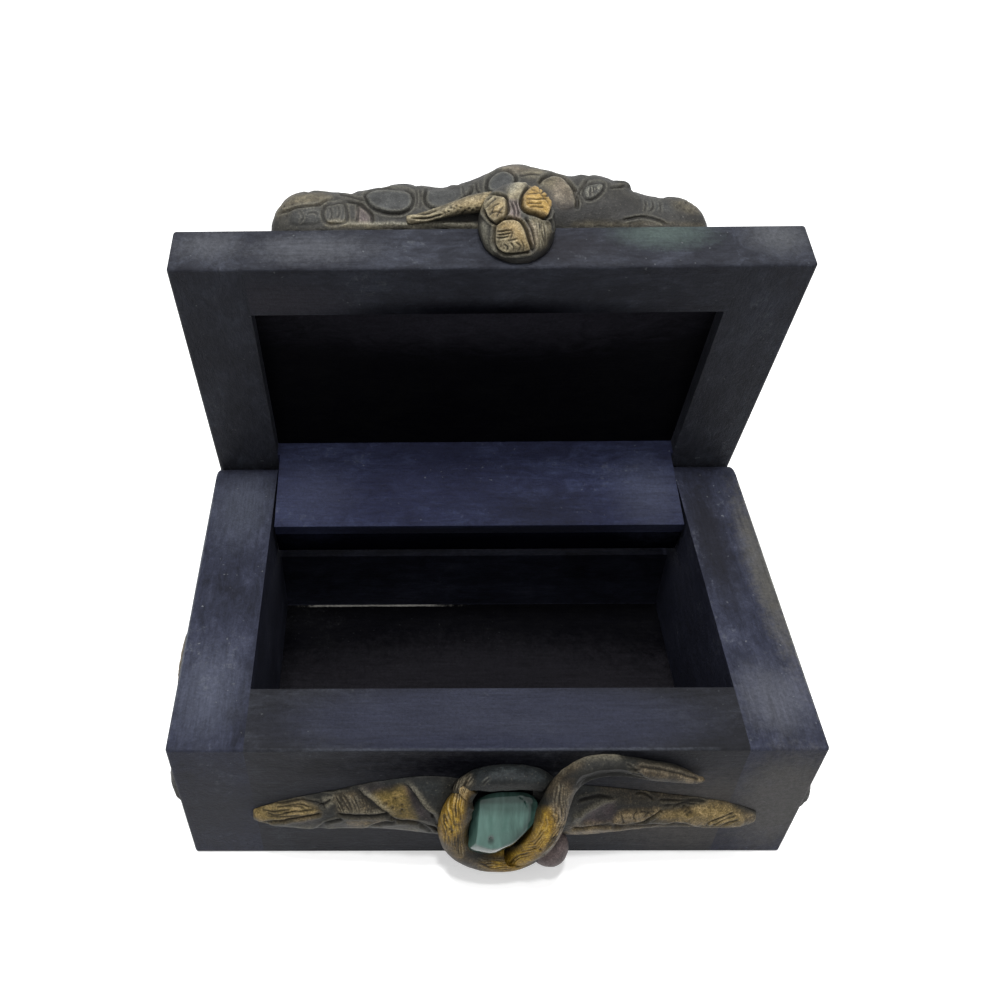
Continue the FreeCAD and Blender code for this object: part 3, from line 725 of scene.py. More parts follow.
    def finish(self, lumps, low, high):
        # everything put back on the mesh: uneven lumps all over, no vertex past the CAD piece's box
        rough = np.array([noise.noise(Vector(p) * 0.3) + 0.5 * noise.noise(Vector(p) * 0.9)
                          + 0.3 * noise.noise(Vector(p) * 2.1) for p in self.place])
        moved = self.place + self.normal * (self.lift + lumps * rough)[:, None]
        self.mesh.vertices.foreach_set("co", (np.clip(moved, low, high) * mm).ravel())
        for name, share in self.paint.items():
            layer = self.mesh.attributes.new(name, "FLOAT", "POINT")
            layer.data.foreach_set("value", np.clip(share, 0, 1))
        self.mesh.update()


def sculpt(name, nodeNames, body, material, sheet, marks, voxel,
           lumps=0.12, rounds=4, plates=0.0, outline=None, flats=()):
    # the whole of one hand-made piece, from the plain CAD form to the marked and tinted one
    piece = softCopy(name, nodeNames, voxel, rounds)
    surface = Surface(piece.data, sheets[sheet])
    if outline:
        surface.reshape(outline)
    for normal, reach in flats:
        surface.plane(normal, reach)
    if flats:
        surface.polish()
    for mark in marks:
        surface.mark(*mark)
    if plates:
        surface.plates(plates)
    corners = np.array([[c[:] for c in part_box(n)] for n in nodeNames]) / mm
    surface.finish(lumps, corners[:, 0].min(0), corners[:, 1].max(0))
    piece.data.shade_smooth()
    piece.data.materials.clear()
    piece.data.materials.append(material)
    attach(piece, body)
    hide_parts(*nodeNames)
    print("sculpted", name, len(piece.data.polygons), "faces")


def layers(points, *steps):
    # marks laid one over another on the same outline
    return [(kind, size, depth, points) for kind, size, depth in steps]


def strokes(kind, size, depth, *lines):
    # several marks made with the same tool and the same pressure
    return [(kind, size, depth, points) for points in lines]


# Marks: kind, width in millimetres, depth in millimetres or a tint's strength, and points. A comb also has
# the line it was drawn along, and a grab the step by which it moves the clay. Groove, scratch, ridge and
# fold follow open lines, loop is a groove all round, pit makes round holes, and the rest fill an outline.
# A grab stands first in its list, because it carries what follows along.

# The dark tint in every list below is painted shade: under the horn, the hood, the head, the arm and the
# body, in the hollows of the wings, and in the gaps round the stone.
leftWingMarks = [
    *layers([(-64, 2.4), (-62.4, 4.5), (-56.3, 4.3), (-51, 4.7), (-47.9, 3.7), (-46.4, 2.3),
             (-46.5, 1.6), (-51.2, 0.9), (-56.5, 0.4), (-61.6, 0)],
            ("gold", 0.8, 0.45), ("cream", 0.8, 0.8)),
    *strokes("scratch", 0.28, 0.3,
             [(-61.2, 2.8), (-57.7, 2.4), (-53.7, 2.8)],
             [(-60.1, 2.1), (-56.4, 1.6), (-51.9, 2.6)],
             [(-57.4, 3.3), (-53.7, 3.8), (-50.3, 3.3)],
             [(-55.6, 2.1), (-51.6, 2.3), (-47.7, 2.8)]),
    *strokes("scratch", 0.28, 0.25,
             [(-59.1, 1.4), (-55.4, 1.2), (-51.1, 1.6)],
             [(-53.7, 4.2), (-50.5, 4), (-48.5, 3.3)]),
    ("groove", 0.45, 0.7, [(-45.7, 1.9), (-48, 1.4), (-51.2, 0.9), (-56, 0.2), (-61.6, -0.3)]),
    ("groove", 0.4, 0.3, [(-62.4, 4.5), (-56.3, 4.5), (-51, 5.2), (-46.3, 4.4), (-44.3, 3.3)]),
    ("groove", 0.35, 0.4, [(-44.8, 7.5), (-41.7, 7.5), (-38.3, 7.9)]),
    *strokes("ridge", 0.6, 0.35,
             [(-45.3, 4.9), (-43.7, 5.6), (-41.7, 6.1)],
             [(-44.8, 3.3), (-43.2, 4.4), (-42.2, 5.1)]),
    ("groove", 0.35, 0.4, [(-46.4, 3.7), (-44.3, 4.4), (-43, 5.6)]),
    ("cream", 0.7, 0.28, [(-42.4, 5.8), (-39.4, 6.8), (-36, 6.7), (-33, 4.4), (-31.1, 2.8),
     (-29.6, 2.1), (-35.7, 1.8), (-40.5, 1.8), (-41.7, 3.7)]),
    ("comb", 0.82, 0.32, [(-43, 5.8), (-39.4, 6.8), (-37.3, 6.5), (-36.9, 2.1), (-40.5, 1.8),
     (-42, 3.7)], [(-43.7, 6.1), (-42.5, 3.7), (-41.3, 1.4)]),
    ("comb", 0.82, 0.18, [(-37.6, 6.5), (-35, 6), (-32.5, 3.7), (-32.1, 2.1), (-37.2, 2.1)],
     [(-43.7, 6.1), (-42.5, 3.7), (-41.3, 1.4)]),
    ("groove", 0.45, 0.85, [(-41.3, 1.8), (-38.2, 1.4), (-35.2, 1.4), (-31.9, 1.4), (-28.3, 1.6)]),
    ("ridge", 0.5, 0.25, [(-40.5, 2.6), (-35.6, 2.3), (-29, 2.3)]),
    *layers([(-36, 7.4), (-33.5, 5.8), (-30.5, 3.7), (-28.5, 2.3), (-31.6, 2.5), (-34, 4.4)],
            ("dark", 0.6, 0.6), ("dome", 1.5, -0.6)),
    ("fold", 2.2, 1, [(-36.3, 7.9), (-34.3, 6.7), (-31.8, 5.1), (-29.8, 3.5), (-28, 2.3), (-26.8, 0.7)]),
    ("gold", 0.8, 0.57, [(-32.2, 6.2), (-28.5, 7.1), (-24.7, 7.8), (-23.5, 5.1), (-22.5, 2.7),
     (-21.5, 0.6), (-24.3, 0.6), (-27.1, 1.1), (-28.5, 2.8), (-30.5, 4.4)]),
    ("pit", 0.35, 0.4, [(-25, 3.7), (-25, 2.7), (-29, 4.4), (-26.7, 5.3), (-27.5, 3.4)]),
    ("mauve", 0.5, 0.6, [(-24.2, 7.8), (-23, 7.4), (-20.5, 3.9), (-17.7, 0.4), (-20, 0.9),
     (-22.5, 4.4)]),
    ("dome", 1.2, -0.4, [(-24.2, 7.8), (-22.7, 7.3), (-20.2, 4.4), (-17.5, 0.4), (-19.7, 0.6),
     (-22.2, 4.4)]),
    ("fold", 2.4, 1.1, [(-24.7, 8.3), (-23.5, 8.5), (-22.2, 7.6), (-20.5, 5.3), (-18.5, 3.2),
     (-16.7, 1.1), (-15.9, -1.3)]),
    ("pit", 0.4, 0.5, [(-17.2, 1.1)]),
    ("groove", 0.45, 0.75, [(-28.1, 1.1), (-25.6, 0.2), (-21.8, -0.1), (-18.7, -1), (-15.6, -2)]),
    ("dark", 0.5, 0.5, [(-40.8, 1.4), (-35.7, 1.1), (-28.1, 1.1), (-24.3, 0.2), (-28.1, 0.2),
     (-35.7, 0.7)]),
    ("groove", 0.4, 0.7, [(-40.3, 0.7), (-43.5, 0), (-45.7, -1), (-47.8, -1.8)]),
    *strokes("ridge", 0.6, 0.35,
             [(-61.6, -0.5), (-56.8, -1.5), (-51.6, -1.7), (-47.6, -1.3)],
             [(-44.9, -1.5), (-39.9, -1.8), (-36, -1.5), (-32.8, -0.8)],
             [(-31.3, -1.8), (-27.7, -2), (-24.3, -1.8), (-20.5, -1.8)],
             [(-22.5, -2.5), (-19.9, -3), (-17.3, -3.7), (-15.5, -5)]),
    *strokes("groove", 0.4, 0.7,
             [(-26.6, -0.1), (-30.2, -0.3), (-32.8, -1), (-34.9, -1.8)],
             [(-20.7, -0.8), (-17.4, -2.5), (-15.5, -4.7)]),
    ("mauve", 0.5, 0.5, [(-54.4, 0), (-51.2, 0.7), (-46.5, 1.1), (-48.2, 0), (-51.3, -0.3)]),
    ("cream", 0.5, 0.55, [(-38.3, 0.4), (-29.4, 0.4), (-32.8, -0.8), (-38, -1.3)]),
    ("slate", 1.2, 0.6, [(-30.9, 9.2), (-25.4, 9.9), (-19.2, 9.9), (-15.5, 8.9), (-16, 5),
     (-19.2, 6.2), (-22.5, 8.3), (-26.7, 8.3)]),
    ("mauve", 0.8, 0.35, [(-35.5, 7.9), (-31, 8.8), (-26.7, 7.8), (-31.5, 6.5), (-33.5, 6.7)]),
]
rightWingMarks = [
    ("mauve", 0.6, 0.9, [(20.1, 0.3), (22.4, 2.4), (26.1, 4.1), (28.4, 4.3), (29.1, 1.5), (28.1, -1.1),
     (23, -1.3), (19.8, -1.1)]),
    ("dome", 2.5, -0.8, [(20.2, -0.1), (22.4, 2.4), (26.1, 4.1), (28.4, 4.3), (29.1, 1.5),
     (28.1, -1.1), (23, -1.3)]),
    ("ridge", 0.7, 0.5, [(18.5, -0.6), (21.1, 2.2), (23.6, 3.6), (26.1, 4.8), (28.8, 5.2)]),
    ("ridge", 0.8, 0.35, [(18.8, 2.2), (19.3, 0.3), (19.1, -1.3)]),
    ("groove", 0.45, 0.8, [(18.5, -1.8), (21.8, -1.6), (24.8, -1.3), (28.2, -1.4), (30.5, -1.8)]),
    ("groove", 0.5, 0.4, [(19.2, 5), (22.2, 5.7), (25.2, 5.9), (28.3, 5.5)]),
    *layers([(28.7, -0.4), (30.1, 2.2), (33.6, 2.9), (37.2, 2.9), (40.3, 2.7), (38, 0.8), (35.6, -0.2),
             (31.8, -0.6)], ("dome", 0.8, 0.6), ("cream", 0.6, 0.98)),
    ("groove", 0.4, 0.75, [(27, -0.9), (30.6, -0.9), (35.7, -0.4), (38, 0.8), (40.8, 2.4)]),
    *strokes("scratch", 0.3, 0.35,
             [(30.3, 2.2), (30.7, 1), (31.5, -0.2)],
             [(34.1, 2.4), (33.5, 1.5), (34.1, 0.5)]),
    *strokes("scratch", 0.3, 0.3,
             [(35.2, 2.4), (37.2, 2.2), (39, 2.4)],
             [(36.3, 1.5), (37.3, 2), (38.3, 1.7)]),
    ("dark", 0.5, 0.8, [(36.2, -0.4), (39.3, 0.5), (41.9, 0.5), (44.1, -0.7), (39.8, -0.9)]),
    *layers([(39.8, -0.2), (40.9, 1.9), (45.5, 2.6), (50.7, 3.6), (54.7, 4.3), (58.8, 3.3),
             (62.3, 1.4), (63.3, -0.7), (61.3, -1.7), (56.5, -1.4), (51.5, -0.9), (46, -0.2)],
            ("gold", 1, 0.38), ("cream", 0.8, 1.17), ("dome", 1.2, 0.45)),
    ("pit", 0.4, 0.5, [(47.1, 2.4), (47.5, 3.1), (46.5, 3.6), (48.1, 2.2), (47.4, 1.7)]),
    ("groove", 0.35, 0.55, [(52.9, -1.4), (53.7, 0), (55.7, 0.7), (59.7, 1.9)]),
    ("scratch", 0.3, 0.3, [(54.5, -0.7), (56.8, 0.3), (60.5, 1.4)]),
    ("scratch", 0.3, 0.25, [(55.8, -1.2), (58.6, -0.2), (61.2, 0.5)]),
    ("groove", 0.4, 0.7, [(51.6, -1.2), (54.4, -1.4), (58.4, -1.4), (63.1, -1.9)]),
    ("cream", 0.5, 0.98, [(19.4, -2.8), (23.4, -2.6), (29, -2.1), (33.3, -2.8), (27.2, -3.9),
     (22.2, -4.3), (20.5, -4.1)]),
    ("ridge", 0.6, 0.4, [(19.9, -3.6), (22.5, -4), (25.5, -4.3), (28.8, -3.8), (32.2, -3)]),
    ("cream", 0.5, 0.98, [(30.2, -1.8), (36.4, -1.9), (42.6, -1.9), (49.2, -2.1), (51.6, -2.4),
     (44.9, -2.7), (37.4, -3), (34, -2.8)]),
    ("groove", 0.5, 0.95, [(29.5, -1.4), (33.4, -1.4), (38.6, -1.1), (42.6, -1.2), (45.1, -0.7),
     (49.2, -1.4), (52.1, -2.1)]),
    ("cream", 0.5, 0.91, [(51.9, -1.9), (55.8, -2.4), (61.1, -2.4), (64.9, -1.9), (66.8, 0.7),
     (65.8, -1.5), (60.4, -2.8), (56.9, -3), (54.7, -2.8)]),
    *strokes("groove", 0.35, 0.35,
             [(34, 6.6), (36.3, 6.6), (38.4, 5)],
             [(40.2, 5), (45.4, 4.8), (49.4, 5.2), (52.3, 4.5)]),
    ("scratch", 0.3, 0.3, [(41.3, 3.6), (44.1, 3.8), (48.1, 4.8), (51.5, 4.5)]),
    ("scratch", 0.3, 0.25, [(43.4, 3.1), (46.5, 4.3), (49.6, 4.1)]),
    ("slate", 1, 0.45, [(18.4, 8.2), (24.7, 8.5), (32.5, 7.8), (35, 6.4), (29.9, 5), (24.7, 6.4),
     (19.7, 5.7)]),
    ("cream", 0.6, 0.65, [(62.2, 2.2), (64.6, 1.7), (66.8, 0.7), (66.3, -0.7), (64, -0.7)]),
    ("cream", 0.6, 1.17, [(25.6, -1.6), (36.4, -1.6), (49.1, -1.9), (62.5, -2.2), (59.8, -3.4),
     (47.3, -3.4), (34.8, -3.6), (26.2, -4)]),
    *layers([(24.7, 8.7), (35.2, 8.7), (48.3, 7.4), (50.7, 4.5), (40.2, 4.1), (29.9, 5)],
            ("slate", 1, 0.24), ("cream", 1.2, 0.2)),
    ("cream", 0.8, 0.98, [(18.8, -1.1), (30.7, -1.1), (51.9, -1.9), (63.8, -1.9), (61, -3.9),
     (47.3, -3.9), (34.7, -4.1), (19.5, -4.5)]),
]
# the line along which the horn's combing runs, from its bend down to its foot
hornRun = [(15.6, 9.2), (15.7, 4.9), (16.2, 1.5), (15.2, -2.6), (13.5, -6.1), (10.7, -9.2), (6.3, -11.2)]
hornMarks = [
    ("grab", 2, 1, [(-6.3, -14.8), (-4.3, -9.9), (0.2, -5.7), (3.1, -5.6), (4.9, -8.6), (2.7, -12.5),
     (-0.9, -15.2)], (0, 0, -3.4)),
    ("dome", 1, -1.1, [(16.6, 7.7), (17.4, 9.9), (19.7, 10.7), (23, 11.4), (27.3, 11.4), (31.4, 10.5),
     (35.2, 9.3), (31.9, 8.3), (26.9, 8.8), (22.2, 8.8), (19.3, 7.7)]),
    ("dark", 0.9, 0.95, [(16.1, 7.5), (17.1, 9.9), (19.7, 10.7), (23, 11.3), (27.3, 11.3),
     (31.4, 10.3), (35.2, 9.1), (35.9, 8.4), (30.8, 8.9), (25.7, 8.9), (22.6, 7.7)]),
    ("ridge", 0.9, 0.25, [(12.7, 10.5), (14.6, 12.9), (17.8, 14), (22.5, 14.6), (27.9, 14.6)]),
    ("cream", 1, 0.3, [(12.4, 10.3), (13.8, 12.7), (16.7, 13.8), (17.6, 12.8), (14.8, 11), (12.9, 7.1),
     (11.8, 4.9), (10.8, 7.1)]),
    ("scratch", 0.3, 0.2, [(28.9, 12.7), (30.8, 11.4), (32.4, 10.1)]),
    *strokes("scratch", 0.3, 0.35,
             [(29.3, 11.6), (30.8, 11.2), (31.8, 11.4)],
             [(30.1, 10.5), (31.9, 10.3), (33, 9.9)]),
    ("groove", 0.4, 0.25, [(31.9, 12.1), (37.1, 11.7), (42.3, 10.7), (47.8, 9.6)]),
    ("cream", 0.6, 0.5, [(43.9, 10.2), (47.9, 10.6), (49.8, 9.4), (47.5, 8.7), (44.1, 8.9)]),
    ("cream", 0.7, 0.85, [(10.8, 2.6), (12.1, 4.2), (14, 4.2), (15.6, 2.6), (15.8, -0.5), (14.6, -4.2),
     (12.5, -7.3), (10, -9.5), (10.3, -5.4), (11.3, -1.4)]),
    ("comb", 0.68, 0.45, [(10.6, 2.6), (12.1, 3.8), (14, 3.7), (15.9, 2.6), (15.8, -0.5), (14.6, -4.2),
     (12.5, -7.3), (9.9, -9.8), (10.3, -5.4), (11.3, -1.4)],
     hornRun[:6]),
    ("comb", 0.68, 0.2, [(11.9, 8.4), (14.2, 8.1), (15.8, 3.5), (11.2, 3.1)],
     hornRun[:4]),
    ("gold", 0.9, 1, [(9.4, 2.7), (11.5, 1.7), (12.4, -0.5), (11.7, -4.2), (9.4, -7.3), (6.5, -10.1),
     (2.2, -12.1), (-1.3, -11), (1.9, -8.5), (5, -6), (7.2, -2.8), (8.6, -0.1)]),
    ("comb", 0.62, 0.3, [(9.8, 1.8), (11.2, 0.4), (10.7, -4.2), (8.7, -7.3), (5.7, -9.6), (2.2, -11.4),
     (0.5, -10.5), (2.8, -8.4), (5.2, -6.2), (7.2, -3.3), (8.6, -0.5)],
     hornRun),
    ("pit", 0.35, 0.4, [(7.9, -6.3), (9.3, -6.6), (2.9, -10.1), (3.5, -9.6)]),
    ("ridge", 0.5, 0.25, [(15.6, -0.1), (14.8, -3.8), (12.6, -6.9), (10, -9.3)]),
    ("dark", 0.7, 0.7, [(7.8, 4.9), (9.6, 4.9), (9.8, 2.2), (8, -1), (5.6, -4.8), (2.6, -7.5),
     (2.2, -6.3), (5.2, -3.9), (7.8, -0.1)]),
    ("cream", 0.9, 0.35, [(31.9, 12.3), (39.7, 11.7), (48.3, 10.1), (48, 9), (39.7, 9.3), (33.2, 10.1)]),
    ("cream", 1.2, 0.35, [(12.1, 8), (15.1, 8.8), (16.1, 4.9), (14.7, 2.2), (12.1, 3.5)]),
]
coilMarks = [
    ("grab", 0.6, 1, [(-8.1, 5.6), (-5.9, 8.1), (-2.2, 8.4), (-1.7, 5.6), (-4.4, 4), (-6.7, 3.6)],
     (-4, 1.6, 0)),
    ("grab", 0.8, 1, [(-7.4, 4.9), (-5, 5.8), (-4.5, 3.6), (-6.3, 1.8), (-7.9, 2.2)],
     (-1.3, 0.3, 0)),
    ("cream", 0.6, 0.7, [(-11.1, 8.2), (-8.6, 9.8), (-7.5, 8.4), (-8.8, 5.6), (-10.3, 4.3),
     (-11.7, 5.7)]),
    ("gold", 0.7, 0.85, [(-14.8, 3.2), (-13.6, 5), (-11.7, 6.1), (-10, 5.6), (-9.6, 3.6), (-9.9, -0.7),
     (-10.2, -4.3), (-13.3, -4.7), (-15.2, -3.8), (-15.9, -1.5), (-15.5, 0.9)]),
    ("comb", 0.55, 0.4, [(-12.3, 7.1), (-8.6, 9.6), (-7.6, 7.7), (-9.1, 4.9), (-9.3, -1.9),
     (-8.8, -8.1), (-12.4, -7.4), (-15.4, -3.8), (-15.5, 1.6), (-14, 5)],
     [(-7.2, 9.6), (-8.8, 5.6), (-9.3, 2.2), (-9, -1.9), (-8.3, -9.1)]),
    ("mauve", 0.5, 0.9, [(-9.5, 6.1), (-8.1, 6.1), (-8.6, 2.2), (-8.9, -1), (-10.2, 0), (-9.8, 3.1)]),
    ("cream", 0.8, 0.4, [(-14.5, -4.3), (-10.5, -4.3), (-9.1, -8.6), (-11.6, -8.4), (-13.9, -6.2)]),
    ("dark", 0.7, 0.95, [(-9.1, 4.9), (-7.6, 6.8), (-7.6, 0.4), (-7.8, -3.9), (-7.8, -6.7), (-4.6, -8),
     (0.1, -8), (4.2, -7), (1.4, -9.4), (-5.2, -9.1), (-9.3, -8.4), (-9.3, -1.9)]),
    ("pit", 0.35, 0.4, [(-12.6, -2.4), (-13.3, -1.9), (-11.9, -1)]),
    ("mauve", 0.8, 0.3, [(-13.9, -6.7), (-9.8, -9.1), (-5.1, -10.6), (0.1, -11.6), (-5.1, -11.4),
     (-10.3, -9.6)]),
    ("gold", 1.4, 0.42, [(-15.5, 2.3), (-12.5, 6.9), (-8.3, 6.8), (-8.3, -6.7), (-13, -5.7)]),
    ("cream", 1, 0.3, [(-11.7, -6.7), (-5.1, -9.6), (0.1, -10.6), (0.1, -11.6), (-6.4, -11.1),
     (-11.6, -8.6)]),
    ("dark", 0.6, 0.9, [(-8.8, 6.1), (-5.9, 7.2), (-2.8, 7.3), (-4.5, 4.9), (-6.7, 3.1), (-7.6, 0.4),
     (-9.1, -1), (-9.8, 3.1)]),
    ("gold", 1.2, 0.47, [(-4.1, -9.6), (-0.4, -8.2), (3.6, -8.9), (5.4, -11.2), (1.3, -12.7),
     (-3.4, -11.9)]),
    ("comb", 0.6, 0.2, [(-5.7, -8.7), (-1, -8.2), (4.1, -8.9), (6, -11.2), (1.3, -12.7), (-5, -11.9)],
     [(-7.8, -8.6), (-2.5, -10.6), (6.7, -10.7)]),
    ("gold", 1.2, 0.85, [(-1.5, -8.2), (2.2, -6.3), (6.2, -6.5), (7.4, -9.3), (4.4, -12.2),
     (0.2, -12.6), (-3, -11.1)]),
]
hoodMarks = [
    ("grab", 1.3, 1, [(-8.9, 6.7), (-6.1, 7.8), (3.4, 8), (11, 7.2), (13.5, 1.8), (4.9, 1.3),
     (-5.2, 1.3), (-8.8, 2.7)], (0, 1.3, 0)),
    ("slate", 1.6, 0.9, [(-10.2, 9.1), (-8.2, 11.4), (-4.5, 12.7), (1.5, 13.3), (7.7, 12.7),
     (10.7, 10.3), (8.4, 8), (-0.2, 7.8), (-8.4, 7.2)]),
    ("dark", 1.2, 0.95, [(-7.5, 7.4), (-3.7, 8), (3.4, 8), (10.5, 7.6), (13.2, 4.6), (-6.5, 4.5)]),
    ("comb", 0.6, 0.22, [(-12.3, 8.5), (-8.7, 11.4), (-7.4, 9.4), (-8.9, 7), (-11.6, 6.4)],
     [(-7.3, 11.3), (-9.3, 9), (-10.3, 6.5)]),
    ("cream", 0.9, 0.35, [(-11.6, 8.2), (-8.8, 10.4), (-7.9, 9.2), (-9.3, 7), (-11.2, 6.6)]),
    ("scratch", 0.25, 0.12, [(-5.3, 8.5), (-4.6, 9.2), (-3.9, 9.8)]),
    ("dark", 0.8, 0.9, [(-9.3, 4.9), (-7.5, 6.7), (-3.2, 7.6), (3.4, 7.8), (9.7, 7.4), (13.1, 3.6),
     (-0.1, 3.7), (-7.7, 3.7)]),
]
bulbMarks = [
    ("mauve", 1, 1, [(5.2, 7.5), (25.6, 7.4), (23.8, -15.7), (-0.9, -15.7)]),
]
